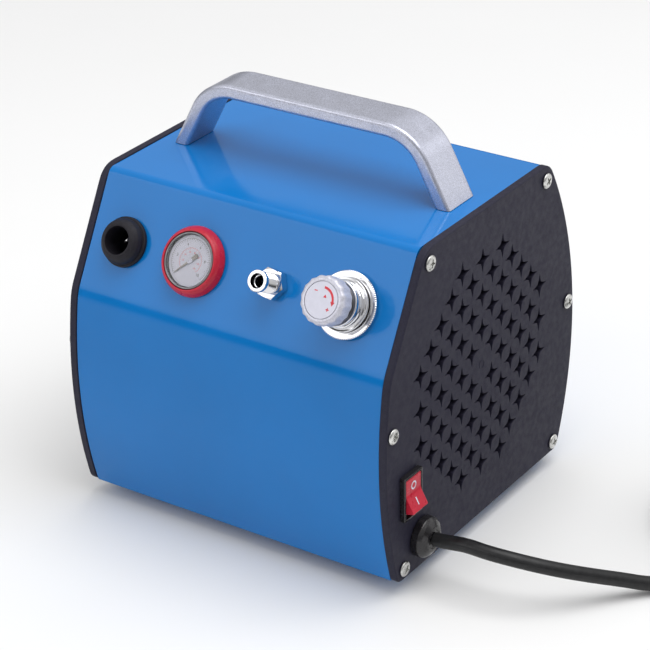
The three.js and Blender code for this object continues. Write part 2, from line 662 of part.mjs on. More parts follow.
function addMotor() {
  const { y, z } = MOTOR;
  const { from, to } = STATOR;
  const core = cut(
    tubeRing(ROTOR_RADIUS + 0.7, STATOR_RADIUS, from, to, 24),
    ...slotBars(from - 1, to + 1, 0));
  piece('motor_stator', alongX(core, y, z), darkSteel);

  const { inner, outer, overhang } = WINDING;
  const windings = join(
    tubeRing(inner, outer, from - GAP - overhang, from - GAP),
    tubeRing(inner, outer, to + GAP, to + GAP + overhang),
    ...slotBars(from - 1, to + 1, -GAP));
  piece('motor_windings', alongX(windings, y, z), copper);

  const rotor = turned([
    [0, -24.7], [SHAFT_RADIUS, -24.7], [SHAFT_RADIUS, from], [ROTOR_RADIUS, from], [ROTOR_RADIUS, to],
    [SHAFT_RADIUS, to], [SHAFT_RADIUS, 76], [0, 76],
  ]);
  piece('motor_rotor', alongX(rotor, y, z), zincSteel);

  const cup = turned([
    [SHAFT_RADIUS + 0.4, 55], [36, 55], [36, to + GAP], [STATOR_RADIUS, to + GAP], [STATOR_RADIUS, 58],
    [SHAFT_RADIUS + 0.4, 58],
  ], 24);
  const leg = block([50, y - 22, SHEET + GAP], [58, y + 22, 5]);
  const web = block([54, y - 14, 3], [58, y + 14, z - 30]);
  piece('end_bell', join(alongX(cup, y, z), leg, web), castAluminium);

  const blades = [rod(9, 62, 74, 12)];
  const bladeCount = 7;
  for (let i = 0; i < bladeCount; i += 1) {
    const blade = new THREE.BoxGeometry(29, 1.8, 15).rotateX(38 * DEGREE).translate(22, 0, 68);
    blades.push(blade.rotateZ((2 * Math.PI * i) / bladeCount));
  }
  const fan = cut(join(...blades), rod(SHAFT_RADIUS + GAP, 55, 80, 12));
  piece('cooling_fan', alongX(fan, y, z), whitePlastic);
}

// ---- Pump ---------------------------------------------------------------------------------------

function addPump() {
  const { y, z } = MOTOR;
  const wall = 4;
  const top = z + 26;
  const bell = turned([
    [SHAFT_RADIUS + 0.4, -8], [STATOR_RADIUS, -8], [STATOR_RADIUS, STATOR.from - GAP], [36, STATOR.from - GAP],
    [36, -5], [SHAFT_RADIUS + 0.4, -5],
  ], 24);
  const box = cut(
    block([-52, y - 24, z - 26], [-7, y + 24, top]),
    block([-60, y - 20, z - 22], [-12, y + 20, top - wall]),
    alongX(rod(SHAFT_RADIUS + 0.4, -20, 0, 16), y, z),
    rod(BORE_RADIUS + 0.4, top - 10, top + 5, 20).translate(PUMP_X, y, 0));
  const foot = block([-50, y - 22, SHEET + GAP], [-12, y + 22, 5]);
  const web = block([-34, y - 14, 4], [-26, y + 14, z - 25]);
  piece('crankcase', join(alongX(bell, y, z), box, foot, web), castAluminium);

  const disc = cut(rod(15, -28, -20, 20), rod(SHAFT_RADIUS + GAP, -25, -10));
  const pin = rod(3.2, -38, -27, 14).translate(0, CRANK_THROW, 0);
  piece('crank_disc', alongX(join(disc, pin), y, z), darkSteel);

  // The rod stands upright at top dead centre: big end on the crank pin, small end in the piston.
  const bigEnd = CRANK_THROW;
  const smallEnd = CRANK_THROW + ROD_LENGTH;
  const link = cut(
    join(
      rod(8, -36.5, -30.5, 20).translate(0, bigEnd, 0),
      block([-3, bigEnd + 6, -35.5], [3, smallEnd - 3, -31.5]),
      rod(5.4, -36.5, -30.5, 16).translate(0, smallEnd, 0)),
    rod(3.2 + GAP, -40, -28, 14).translate(0, bigEnd, 0),
    rod(2.2, -40, -28, 12).translate(0, smallEnd, 0));
  piece('connecting_rod', alongX(link, y, z), castAluminium);

  // The piston's crown stands clear of the small end by more than its stroke.
  const crown = z + smallEnd + 5.4 + 2 * CRANK_THROW + 1;
  const skirt = crown - 21;
  const piston = turned([
    [0, crown], [12.6, crown], [12.6, skirt], [BORE_RADIUS - GAP, skirt], [BORE_RADIUS - GAP, crown + 3],
    [0, crown + 3],
  ]);
  piece('piston', piston, castAluminium).position.set(PUMP_X, y, 0);

  const cylinderTop = crown + 6;
  const cylinderProfile = [[BORE_RADIUS, top + GAP], [20, top + GAP], [20, top + 4], [17.5, top + 4]];
  for (let fin = top + 11; fin < cylinderTop - 8; fin += 9) {
    cylinderProfile.push([17.5, fin], [21, fin], [21, fin + 2], [17.5, fin + 2]);
  }
  cylinderProfile.push([17.5, cylinderTop], [BORE_RADIUS, cylinderTop]);
  piece('cylinder', turned(cylinderProfile), castAluminium).position.set(PUMP_X, y, 0);

  const head = cylinderTop + GAP;
  const headBlock = block([-21, -21, head], [21, 21, head + 11]);
  const port = alongX(rod(4.5, 20, 27, 12), 0, head + 5.5);
  piece('cylinder_head', join(headBlock, port), castAluminium).position.set(PUMP_X, y, 0);
  const filter = turned([
    [0, head + 11 + GAP], [4, head + 11 + GAP], [4, head + 14], [9, head + 14], [9, head + 22], [8, head + 23],
    [0, head + 23],
  ], 18);
  piece('intake_filter', filter, blackPlastic).position.set(PUMP_X - 6, y, 0);
  return { x: PUMP_X + 27, y, z: head + 5.5 };
}

// ---- Hoses --------------------------------------------------------------------------------------

function addHoses(headPort) {
  const fromPanel = (x, up, out) => panelPoint(x, up, out).toArray();
  const bodyBack = -28 - GAP;
  const air = [
    [headPort.x + GAP, headPort.y, headPort.z],
    [headPort.x + 12, headPort.y, headPort.z],
    [headPort.x + 34, headPort.y - 5, headPort.z - 1],
    [headPort.x + 54, headPort.y - 17, headPort.z - 7],
    fromPanel(REGULATOR_X, 0, bodyBack - 10),
    fromPanel(REGULATOR_X, 0, bodyBack),
  ];
  piece('air_hose', hose(air, 4, 14), hosePlastic);

  const bodySide = REGULATOR_X - 12 - GAP;
  const gauge = [
    fromPanel(GAUGE_X, 0, -25 - GAP),
    fromPanel(GAUGE_X, 0, -31),
    fromPanel(GAUGE_X + 10, -4, -37),
    fromPanel(GAUGE_X + 36, -7, -35),
    fromPanel(GAUGE_X + 58, -7, -25),
    fromPanel(bodySide - 6, -6, -17),
    fromPanel(bodySide, -6, -17),
  ];
  piece('gauge_hose', hose(gauge, 2.5, 16), hosePlastic);
  const outlet = [
    fromPanel(OUTLET_X, 0, -18 - GAP),
    fromPanel(OUTLET_X, 0, -22),
    fromPanel(OUTLET_X + 6, 2, -27),
    fromPanel(OUTLET_X + 15, 5, -24),
    fromPanel(bodySide - 4, 6, -17),
    fromPanel(bodySide, 6, -17),
  ];
  piece('outlet_hose', hose(outlet, 2.5, 12), hosePlastic);
}

// ---- Assembly -----------------------------------------------------------------------------------

addCase();
addHandle();
addHolder();
addGauge();
addOutlet();
addRegulator();
addSwitch();
addGland();
addCord();
addMotor();
const headPort = addPump();
addHoses(headPort);

export default compressor;
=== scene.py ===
import json
import math

import bmesh
import bpy
from mathutils import Matrix, Vector


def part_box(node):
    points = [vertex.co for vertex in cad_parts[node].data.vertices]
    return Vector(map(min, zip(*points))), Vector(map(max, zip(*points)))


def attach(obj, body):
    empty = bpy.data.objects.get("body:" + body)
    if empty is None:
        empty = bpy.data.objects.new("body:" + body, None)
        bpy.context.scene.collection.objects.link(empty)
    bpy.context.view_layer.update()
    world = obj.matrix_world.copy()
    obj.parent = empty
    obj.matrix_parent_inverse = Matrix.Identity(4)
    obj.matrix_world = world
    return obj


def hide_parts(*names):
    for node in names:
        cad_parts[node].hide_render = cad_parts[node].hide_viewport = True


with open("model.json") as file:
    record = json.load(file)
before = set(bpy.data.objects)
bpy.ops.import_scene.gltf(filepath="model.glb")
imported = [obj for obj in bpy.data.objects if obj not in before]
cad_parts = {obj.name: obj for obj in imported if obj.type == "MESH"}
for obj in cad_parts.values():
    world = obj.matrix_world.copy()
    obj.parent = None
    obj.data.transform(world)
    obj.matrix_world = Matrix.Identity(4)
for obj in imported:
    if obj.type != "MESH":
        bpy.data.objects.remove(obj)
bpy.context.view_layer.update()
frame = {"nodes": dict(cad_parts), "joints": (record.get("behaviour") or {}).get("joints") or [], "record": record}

# The looks of a small airbrush compressor, built round its CAD frame.
# Shapes are drawn in millimetres in the case's own frame (X from mid width, Y from the grille's
# centre, Z from the underside of the case) or in a panel fitting's frame, and placed in metres.

MM = 0.001
RECORD = frame["record"]
PIVOTS = {joint["name"]: Vector(joint["pos_m"]) for joint in frame["joints"] if "pos_m" in joint}

# ---- Driving dimensions, in millimetres -----------------------------------------------------------

CASE_WIDTH = 181
CASE_HEIGHT = 161
FOOT_HEIGHT = 8
MOTOR_AXIS = (26, 8, 58)
FRONT_ARC = (141.7, 64, 225)
BACK_ARC = (-86.7, 67.5, 175.5)
PANEL_TILT = math.radians(29)
PANEL_POINT = (-65.36, 132)
PLATE = 4
PLATE_ROUNDING = (4.4, 7.5, 5.5)
BOTTOM_ROUNDING = 4
SHEET = 1.2
SHELL_INSET = 0.6
SHELL_ROUNDING = (4.4, 3, 3.5)
STAR_PITCH = 9
STAR_FLANK = ((0, 6.4), (0.36, 4.9), (0.78, 3.3), (1.55, 1.55))
GRILLE_Z = 81.9
HANDLE_FOOT = 78
HANDLE_TOP = 196.8
HANDLE_LEAN = math.radians(27.9)
HANDLE_RADIUS = 26.4
HANDLE_THICK = 7
HANDLE_WIDE = 22.6
HANDLE_Y = 1.8
CORD_RADIUS = 3.5
GAP = 0.3

# ---- Places ---------------------------------------------------------------------------------------

ORIGIN = PIVOTS["motor_spin"] - Vector(MOTOR_AXIS) * MM
IN_CASE = Matrix.Translation(ORIGIN) @ Matrix.Scale(MM, 4)
TO_X = Matrix(((0, 0, 1, 0), (1, 0, 0, 0), (0, 1, 0, 0), (0, 0, 0, 1)))


def at(x, y, z):
    """A point of the case's frame, in metres."""
    return IN_CASE @ Vector((x, y, z))


def middle(node):
    low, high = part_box(node)
    return (low + high) / 2


def on_panel(x):
    """The frame of a fitting on the sloping panel: X to the right, Y up the panel, Z out of it."""
    seat = PIVOTS["regulator_turn"]
    turn = Matrix.Rotation(math.pi / 2 - PANEL_TILT, 4, "X")
    return Matrix.Translation((x, seat.y, seat.z)) @ turn @ Matrix.Scale(MM, 4)


def along_x(x, y, z):
    """A frame at a point of the case whose Z is the case's X, its X the case's Y, its Y the case's Z."""
    return Matrix.Translation(at(x, y, z)) @ TO_X @ Matrix.Scale(MM, 4)


# ---- Camera ---------------------------------------------------------------------------------------

CAMERA_SPOT = (603.6, -875.2, 625.7)
CAMERA_AZIMUTH = math.radians(34.507)
CAMERA_ELEVATION = math.radians(27.264)
CAMERA_ROLL = math.radians(-1.27)
CAMERA_LENS = 135.9


def add_camera():
    data = bpy.data.cameras.new("camera")
    data.lens = CAMERA_LENS
    data.sensor_width = 36
    camera = bpy.data.objects.new("camera", data)
    bpy.context.scene.collection.objects.link(camera)
    heading = Matrix.Rotation(CAMERA_AZIMUTH, 4, "Z")
    pitch = Matrix.Rotation(math.pi / 2 - CAMERA_ELEVATION, 4, "X")
    roll = Matrix.Rotation(CAMERA_ROLL, 4, "Z")
    camera.matrix_world = Matrix.Translation(at(*CAMERA_SPOT)) @ heading @ pitch @ roll
    bpy.context.scene.camera = camera


# ---- Materials ------------------------------------------------------------------------------------


class Surface:
    """A Principled material with helpers that wire noise into it."""

    def __init__(self, slot, color, roughness, metallic=0.0, **sockets):
        self.slot = slot
        self.material = bpy.data.materials.new(slot)
        self.material.use_nodes = True
        self.tree = self.material.node_tree
        self.shader = self.tree.nodes["Principled BSDF"]
        self.color = color
        self.roughness = roughness
        self.shader.inputs["Base Color"].default_value = (*color, 1)
        self.shader.inputs["Roughness"].default_value = roughness
        self.shader.inputs["Metallic"].default_value = metallic
        for name, value in sockets.items():
            self.shader.inputs[name.replace("_", " ")].default_value = value
        self.coordinates = self.tree.nodes.new("ShaderNodeTexCoord").outputs["Object"]
        self.normal = None

    def noise(self, per_metre, detail=3.0, stretch=(1, 1, 1)):
        mapping = self.tree.nodes.new("ShaderNodeMapping")
        mapping.inputs["Scale"].default_value = [per_metre * value for value in stretch]
        self.tree.links.new(self.coordinates, mapping.inputs["Vector"])
        texture = self.tree.nodes.new("ShaderNodeTexNoise")
        texture.inputs["Scale"].default_value = 1
        texture.inputs["Detail"].default_value = detail
        self.tree.links.new(mapping.outputs["Vector"], texture.inputs["Vector"])
        return texture.outputs["Fac"]

    def spread(self, value, low, high, start=0.3, end=0.7):
        node = self.tree.nodes.new("ShaderNodeMapRange")
        node.inputs["From Min"].default_value = start
        node.inputs["From Max"].default_value = end
        node.inputs["To Min"].default_value = low
        node.inputs["To Max"].default_value = high
        self.tree.links.new(value, node.inputs["Value"])
        return node.outputs["Result"]

    def tones(self, per_metre, darker, lighter, detail=3.0, stretch=(1, 1, 1)):
        """The colour wanders between a darker and a lighter share of itself."""
        ramp = self.tree.nodes.new("ShaderNodeValToRGB")
        for element, share, place in zip(ramp.color_ramp.elements, (darker, lighter), (0.35, 0.65)):
            element.position = place
            element.color = (*[min(1, channel * share) for channel in self.color], 1)
        self.tree.links.new(self.noise(per_metre, detail, stretch), ramp.inputs["Fac"])
        self.tree.links.new(ramp.outputs["Color"], self.shader.inputs["Base Color"])
        return self

    def worn(self, per_metre, swing, detail=4.0, stretch=(1, 1, 1)):
        """The roughness wanders round its value."""
        noise = self.noise(per_metre, detail, stretch)
        value = self.spread(noise, max(0, self.roughness - swing), self.roughness + swing)
        self.tree.links.new(value, self.shader.inputs["Roughness"])
        return self

    def bumps(self, per_metre, height_mm, detail=2.0, stretch=(1, 1, 1)):
        """Relief of about this height. Each call adds to the relief before it."""
        bump = self.tree.nodes.new("ShaderNodeBump")
        bump.inputs["Strength"].default_value = 1
        bump.inputs["Distance"].default_value = height_mm * MM
        self.tree.links.new(self.noise(per_metre, detail, stretch), bump.inputs["Height"])
        if self.normal:
            self.tree.links.new(self.normal, bump.inputs["Normal"])
        self.normal = bump.outputs["Normal"]
        self.tree.links.new(self.normal, self.shader.inputs["Normal"])
        return self


def make_materials():
    surfaces = [
        Surface("shell_blue", (0.003, 0.168, 0.51), 0.12, Specular_IOR_Level=0.32)
        .tones(14, 0.96, 1.04).worn(30, 0.04).bumps(210, 0.005),
        Surface("plate_black", (0.018, 0.017, 0.033), 0.6, Specular_IOR_Level=0.25)
        .tones(2600, 0.75, 1.3, detail=1).worn(300, 0.08).bumps(1500, 0.05).bumps(500, 0.02),
        Surface("rubber_black", (0.010, 0.009, 0.014), 0.6, Specular_IOR_Level=0.3)
        .tones(900, 0.8, 1.25).worn(200, 0.08).bumps(1200, 0.03),
        Surface("handle_silver", (0.56, 0.575, 0.67), 0.36, 0.85)
        .tones(2800, 0.78, 1.2, detail=1).worn(160, 0.07).bumps(1300, 0.012),
        Surface("screw_zinc", (0.66, 0.66, 0.64), 0.3, 1.0)
        .tones(240, 0.8, 1.1).worn(700, 0.12).bumps(900, 0.01),
        Surface("fitting_chrome", (0.74, 0.74, 0.76), 0.09, 1.0)
        .tones(90, 0.94, 1.03).worn(300, 0.05).bumps(120, 0.003),
        Surface("regulator_silver", (0.60, 0.60, 0.68), 0.42, 0.4)
        .tones(1500, 0.88, 1.08, detail=1).worn(260, 0.08).bumps(1100, 0.012),
        Surface("red_plastic", (0.50, 0.012, 0.035), 0.3, Specular_IOR_Level=0.35)
        .tones(120, 0.92, 1.06).worn(220, 0.06).bumps(260, 0.006),
        Surface("print_white", (0.66, 0.66, 0.76), 0.45)
        .tones(400, 0.97, 1.02).worn(200, 0.05).bumps(800, 0.004),
        Surface("print_red", (0.68, 0.03, 0.05), 0.45).tones(900, 0.85, 1.1).worn(200, 0.05),
        Surface("print_black", (0.03, 0.03, 0.035), 0.5).tones(900, 0.8, 1.2).worn(200, 0.05),
        Surface("lens_clear", (1, 1, 1), 0.03, Transmission_Weight=1.0, IOR=1.3).worn(90, 0.02),
        Surface("needle_pale", (0.30, 0.27, 0.25), 0.4).tones(700, 0.85, 1.1).worn(300, 0.05),
        Surface("brass_parts", (0.62, 0.42, 0.16), 0.28, 1.0)
        .tones(160, 0.85, 1.06).worn(400, 0.1).bumps(700, 0.01),
        Surface("cast_alloy", (0.50, 0.51, 0.52), 0.5, 0.85)
        .tones(260, 0.8, 1.1).worn(300, 0.1).bumps(900, 0.04).bumps(120, 0.05),
        Surface("steel_dark", (0.20, 0.20, 0.21), 0.36, 0.9)
        .tones(240, 0.8, 1.15).worn(500, 0.1).bumps(800, 0.01),
        Surface("core_steel", (0.13, 0.13, 0.14), 0.5, 0.7)
        .tones(1, 0.7, 1.3, stretch=(2400, 12, 12)).worn(300, 0.1).bumps(1, 0.08, stretch=(2000, 3, 3)),
        Surface("winding_copper", (0.50, 0.17, 0.06), 0.35, 0.7)
        .tones(1, 0.6, 1.2, stretch=(900, 150, 900)).worn(300, 0.1).bumps(1, 0.2, stretch=(900, 100, 900)),
        Surface("fan_white", (0.70, 0.68, 0.62), 0.42)
        .tones(60, 0.93, 1.03).worn(200, 0.06).bumps(500, 0.01),
        Surface("hose_blue", (0.05, 0.17, 0.42), 0.3).tones(90, 0.9, 1.08).worn(200, 0.06).bumps(300, 0.01),
        Surface("cord_black", (0.008, 0.008, 0.009), 0.42, Specular_IOR_Level=0.4)
        .tones(500, 0.7, 1.5).worn(260, 0.08).bumps(420, 0.03).bumps(1600, 0.01),
        Surface("plastic_black", (0.014, 0.013, 0.015), 0.25)
        .tones(300, 0.8, 1.3).worn(260, 0.08).bumps(900, 0.01),
    ]
    return {surface.slot: surface.material for surface in surfaces}


PAINT = make_materials()

# ---- Shapes: each is a list of points and a list of faces -----------------------------------------

# A radius below this is a point on the axis.
ON_AXIS = 1e-6


def merge(*shapes):
    points, faces = [], []
    for more_points, more_faces in shapes:
        faces += [[i + len(points) for i in face] for face in more_faces]
        points += more_points
    return points, faces


def moved(shape, matrix):
    points, faces = shape
    return [tuple(matrix @ Vector(point)) for point in points], faces


def skin(rings, around=True, close=False, caps=False):
    """Quads between rings of equal length. A ring of one point is a pole."""
    points = [point for ring in rings for point in ring]
    starts = [sum(len(ring) for ring in rings[:i]) for i in range(len(rings))]
    pairs = list(zip(range(len(rings)), range(1, len(rings))))
    if close:
        pairs.append((len(rings) - 1, 0))
    faces = []
    for a, b in pairs:
        longest = max(len(rings[a]), len(rings[b]))
        for i in range(longest if around else longest - 1):
            j = (i + 1) % longest
            corners = [
                starts[a] + i % len(rings[a]), starts[a] + j % len(rings[a]),
                starts[b] + j % len(rings[b]), starts[b] + i % len(rings[b]),
            ]
            unique = list(dict.fromkeys(corners))
            if len(unique) > 2:
                faces.append(unique)
    if caps:
        faces.append([starts[0] + i for i in range(len(rings[0]))][::-1])
        faces.append([starts[-1] + i for i in range(len(rings[-1]))])
    return points, faces


def rectangle(left, bottom, right, top):
    return [(left, bottom), (right, bottom), (right, top), (left, top)]


def circle(radius, height, sides):
    if radius < ON_AXIS:
        return [(0, 0, height)]
    angles = [2 * math.pi * i / sides for i in range(sides)]
    return [(radius * math.cos(angle), radius * math.sin(angle), height) for angle in angles]


def lathe(profile, sides=96):
    """A turned shape about Z from (radius, height) points. Off the axis it closes on itself."""
    rings = [circle(radius, height, sides) for radius, height in profile]
    return skin(rings, close=profile[0][0] > ON_AXIS)


def polar(heights, radius_at, sides, caps=True):
    """A stack of rings whose radius depends on the angle and on the ring's place in the stack."""
    rings = []
    for level, height in enumerate(heights):
        ring = []
        for i in range(sides):
            angle = 2 * math.pi * i / sides
            radius = radius_at(angle, level, height)
            ring.append((radius * math.cos(angle), radius * math.sin(angle), height))
        rings.append(ring)
    return skin(rings, caps=caps)


def rounded(outline, radius, steps=4, closed=True):
    """The outline with its corners rounded. A third number in a point is that corner's own radius."""
    result = []
    count = len(outline)
    for i, corner in enumerate(outline):
        here = Vector(corner[:2])
        size = corner[2] if len(corner) > 2 else radius
        if size <= 0 or (not closed and i in (0, count - 1)):
            result.append(tuple(here))
            continue
        before = Vector(outline[i - 1][:2]) - here
        after = Vector(outline[(i + 1) % count][:2]) - here
        half = before.angle(after) / 2
        reach = min(size / math.tan(half), before.length * 0.49, after.length * 0.49)
        start = here + before.normalized() * reach
        end = here + after.normalized() * reach
        for step in range(steps + 1):
            share = step / steps
            result.append(tuple(start.lerp(here, share).lerp(here.lerp(end, share), share)))
    return result


def turned(profile, radius=0.3, sides=96, steps=3):
    return lathe(rounded(profile, radius, steps, closed=profile[0][0] > ON_AXIS), sides)


def prism(outline, low, high):
    rings = [[(x, y, height) for x, y in outline] for height in (low, high)]
    return skin(rings, caps=True)


def block(low, high):
    return prism(rectangle(low[0], low[1], high[0], high[1]), low[2], high[2])


def flat_face(points, height):
    return [(x, y, height) for x, y in points], [list(range(len(points)))]


def filled(loops, x):
    """A flat face at x between loops of (y, z) points: the first is the outline, the rest are holes."""
    bm = bmesh.new()
    edges = []
    for loop in loops:
        corners = [bm.verts.new((x, y, z)) for y, z in loop]
        edges += [bm.edges.new((corners[i - 1], corners[i])) for i in range(len(corners))]
    bmesh.ops.triangle_fill(bm, use_beauty=True, edges=edges, normal=(1, 0, 0))
    bm.verts.index_update()
    points = [tuple(corner.co) for corner in bm.verts]
    faces = [[corner.index for corner in face.verts] for face in bm.faces]
    bm.free()
    return points, faces


# ---- Pieces ---------------------------------------------------------------------------------------


def mesh_of(name, shape, place=None):
    points, faces = shape
    mesh = bpy.data.meshes.new(name)
    mesh.from_pydata([place @ Vector(point) if place else point for point in points], [], faces)
    bm = bmesh.new()
    bm.from_mesh(mesh)
    bmesh.ops.remove_doubles(bm, verts=bm.verts, dist=1e-6 if place else 1e-4)
    bmesh.ops.recalc_face_normals(bm, faces=bm.faces)
    bm.to_mesh(mesh)
    bm.free()
    return mesh


def soften(mesh, sharp_degrees):
    mesh.shade_smooth()
    mesh.set_sharp_from_angle(angle=math.radians(sharp_degrees))


def carve(mesh, *cutters):
    """The mesh with the cutters' shapes taken away. All of them are in millimetres."""
    body = bpy.data.objects.new("uncut", mesh)
    bpy.context.scene.collection.objects.link(body)
    tools = []
    for shape in cutters:
        tool = bpy.data.objects.new("cutter", mesh_of("cutter", shape))
        bpy.context.scene.collection.objects.link(tool)
        modifier = body.modifiers.new("cut", "BOOLEAN")
        modifier.operation = "DIFFERENCE"
        modifier.solver = "EXACT"
        modifier.object = tool
        tools.append(tool)
    bpy.context.view_layer.update()
    result = bpy.data.meshes.new_from_object(body.evaluated_get(bpy.context.evaluated_depsgraph_get()))
    for item in [body, *tools]:
        bpy.data.objects.remove(item)
    return result


def add_piece(name, mesh, slot, body="case", stands_for=(), sharp=35, bevel=None):
    piece = bpy.data.objects.new(name, mesh)
    bpy.context.scene.collection.objects.link(piece)
    mesh.materials.clear()
    mesh.materials.append(PAINT[slot])
    soften(mesh, sharp)
    if bevel:
        edge = piece.modifiers.new("edges", "BEVEL")
        edge.width = bevel * MM
        edge.segments = 3
        edge.limit_method = "ANGLE"
        edge.angle_limit = math.radians(40)
    normals = piece.modifiers.new("normals", "WEIGHTED_NORMAL")
    normals.keep_sharp = True
    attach(piece, body)
    if stands_for:
        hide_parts(*stands_for)
    return piece


def build(name, shape, place, slot, **options):
    return add_piece(name, mesh_of(name, shape, place), slot, **options)


# ---- Mains lead -----------------------------------------------------------------------------------

FLOOR = -FOOT_HEIGHT
GLAND = (-54, 16.5)
GLAND_PROUD = 7.5
COIL = (204, 72)
OUTER_TURN = 41.5
INNER_TURN = 34.5
COIL_ENTRY = math.radians(-43)
COIL_EXIT = math.radians(30)
LOWEST = FLOOR + CORD_RADIUS + GAP
PLUG_AXIS = FLOOR + 18.7
PLUG_START = 28
PLUG_NECK = 66
PLUG_FACE = 100
PIN_LENGTH = 19
PIN_SPACING = 19
TIE_ANGLE = math.radians(175)
TIE_WIDTH = 7
TIE_THICK = 0.9
TIE_MIDDLE = Vector(((OUTER_TURN + INNER_TURN) / 2, 10.9))

# From the gland down to the floor, within half a millimetre of the CAD lead. The rest runs
# straight to the coil.
CORD_ROUTE = [
    (CASE_WIDTH / 2 + GLAND_PROUD + GAP, GLAND[0], GLAND[1]),
    (102.3, -54, 17),
    (108, -54, 17.9),
    (115, -53.9, 18.8),
    (126, -53.5, 18.6),
    (136.5, -51.2, 17.6),
    (146, -46.8, 15.4),
    (155, -40.4, 12.2),
    (163.4, -32.6, 8.5),
    (170.4, -24.8, 4.9),
    (177.4, -17, 1.4),
    (185, -9.1, -2.1),
    (193.4, -0.2, LOWEST),
]

# Each change of the wound lead: degrees round the coil where it starts and ends, and the radius
# and height in turns that it reaches. In between it keeps both.
WINDING = [
    (-43, -43, OUTER_TURN, 0),
    (257, 317, INNER_TURN, 0),
    (557, 617, INNER_TURN, 1),
    (857, 917, OUTER_TURN, 1),
    (1157, 1217, OUTER_TURN, 2),
    (1457, 1517, INNER_TURN, 2),
    (1750, 1830, OUTER_TURN, 3),
]


def on_coil(angle, radius, along=0):
    """A point at an angle and radius of the coil, moved along the turn there."""
    x = COIL[0] + radius * math.cos(angle) - along * math.sin(angle)
    y = COIL[1] + radius * math.sin(angle) + along * math.cos(angle)
    return x, y


def smooth(share):
    share = min(1, max(0, share))
    return share * share * (3 - 2 * share)


def wound(degrees):
    """Radius and height of the wound lead after so many degrees."""
    radius, height = WINDING[0][2:]
    for start, end, next_radius, next_height in WINDING[1:]:
        share = smooth((degrees - start) / (end - start))
        radius += (next_radius - radius) * share
        height += (next_height - height) * share
    return radius, LOWEST + height * 2 * CORD_RADIUS


def cord_points():
    points = list(CORD_ROUTE)
    points += [(*on_coil(COIL_ENTRY, OUTER_TURN, along), LOWEST) for along in (-40, -24.7, -12)]
    first = math.degrees(COIL_ENTRY)
    last = math.degrees(COIL_EXIT) + 5 * 360
    steps = 92
    for i in range(steps + 1):
        degrees = first + (last - first) * i / steps
        radius, height = wound(degrees)
        points.append((*on_coil(math.radians(degrees), radius), height))
    end_height = points[-1][2]
    for along in (9, 18, PLUG_START, PLUG_START + 12):
        drop = smooth(along / (PLUG_START + 4))
        height = end_height + (PLUG_AXIS - end_height) * drop
        points.append((*on_coil(COIL_EXIT, OUTER_TURN, along), height))
    return points


def add_cord():
    data = bpy.data.curves.new("power_lead", "CURVE")
    data.dimensions = "3D"
    data.resolution_u = 6
    data.bevel_depth = CORD_RADIUS * MM
    data.bevel_resolution = 6
    data.use_fill_caps = True
    spline = data.splines.new("BEZIER")
    points = cord_points()
    spline.bezier_points.add(len(points) - 1)
    for knot, point in zip(spline.bezier_points, points):
        knot.co = at(*point)
        knot.handle_left_type = knot.handle_right_type = "AUTO"
    data.materials.append(PAINT["cord_black"])
    cord = bpy.data.objects.new("power_lead", data)
    bpy.context.scene.collection.objects.link(cord)
    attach(cord, "case")
    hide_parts("power_cord", "cord_coil")

    # The tie round the bundle: a flat strap bent round a rounded rectangle.
    around = rounded(rectangle(29.6, -0.1, 46.4, 21.9), 4, steps=8)
    side = TIE_WIDTH / 2
    strap_rings = []
    for edge, grow in [(-side, 0), (-side, TIE_THICK), (side, TIE_THICK), (side, 0)]:
        ring = []
        for radius, height in around:
            share = (Vector((radius, height)) - TIE_MIDDLE).normalized() * grow
            ring.append((radius + share.x, edge, height + share.y))
        strap_rings.append(ring)
    strap = skin(strap_rings, close=True)
    tab = block((46, -side, 6), (48.4, side, 16))
    place = Matrix.Translation(at(*COIL, FLOOR + GAP)) @ Matrix.Rotation(TIE_ANGLE, 4, "Z")
    tie = build("lead_tie", merge(strap, tab), place @ Matrix.Scale(MM, 4), "rubber_black", bevel=0.2)
    plug = add_plug()


def add_gland():
    """The strain relief: a glossy bush with a wide collar and a domed nose."""
    face = CASE_WIDTH / 2
    profile = [
        (0, face - 15), (4.8, face - 15), (6.3, face + GAP), (10, face + GAP, 0.4), (10, face + 4, 1.4),
        (8.8, face + 5.6, 1.6), (6.2, face + 7.2, 1.2), (4.8, face + GLAND_PROUD, 0.3), (4.2, face + 6.8),
        (3.6, face + 6.8), (0, face + 6.8),
    ]
    build("lead_gland", turned(profile, 0.15, steps=6), along_x(0, *GLAND), "plastic_black",
          stands_for=["cord_gland"])


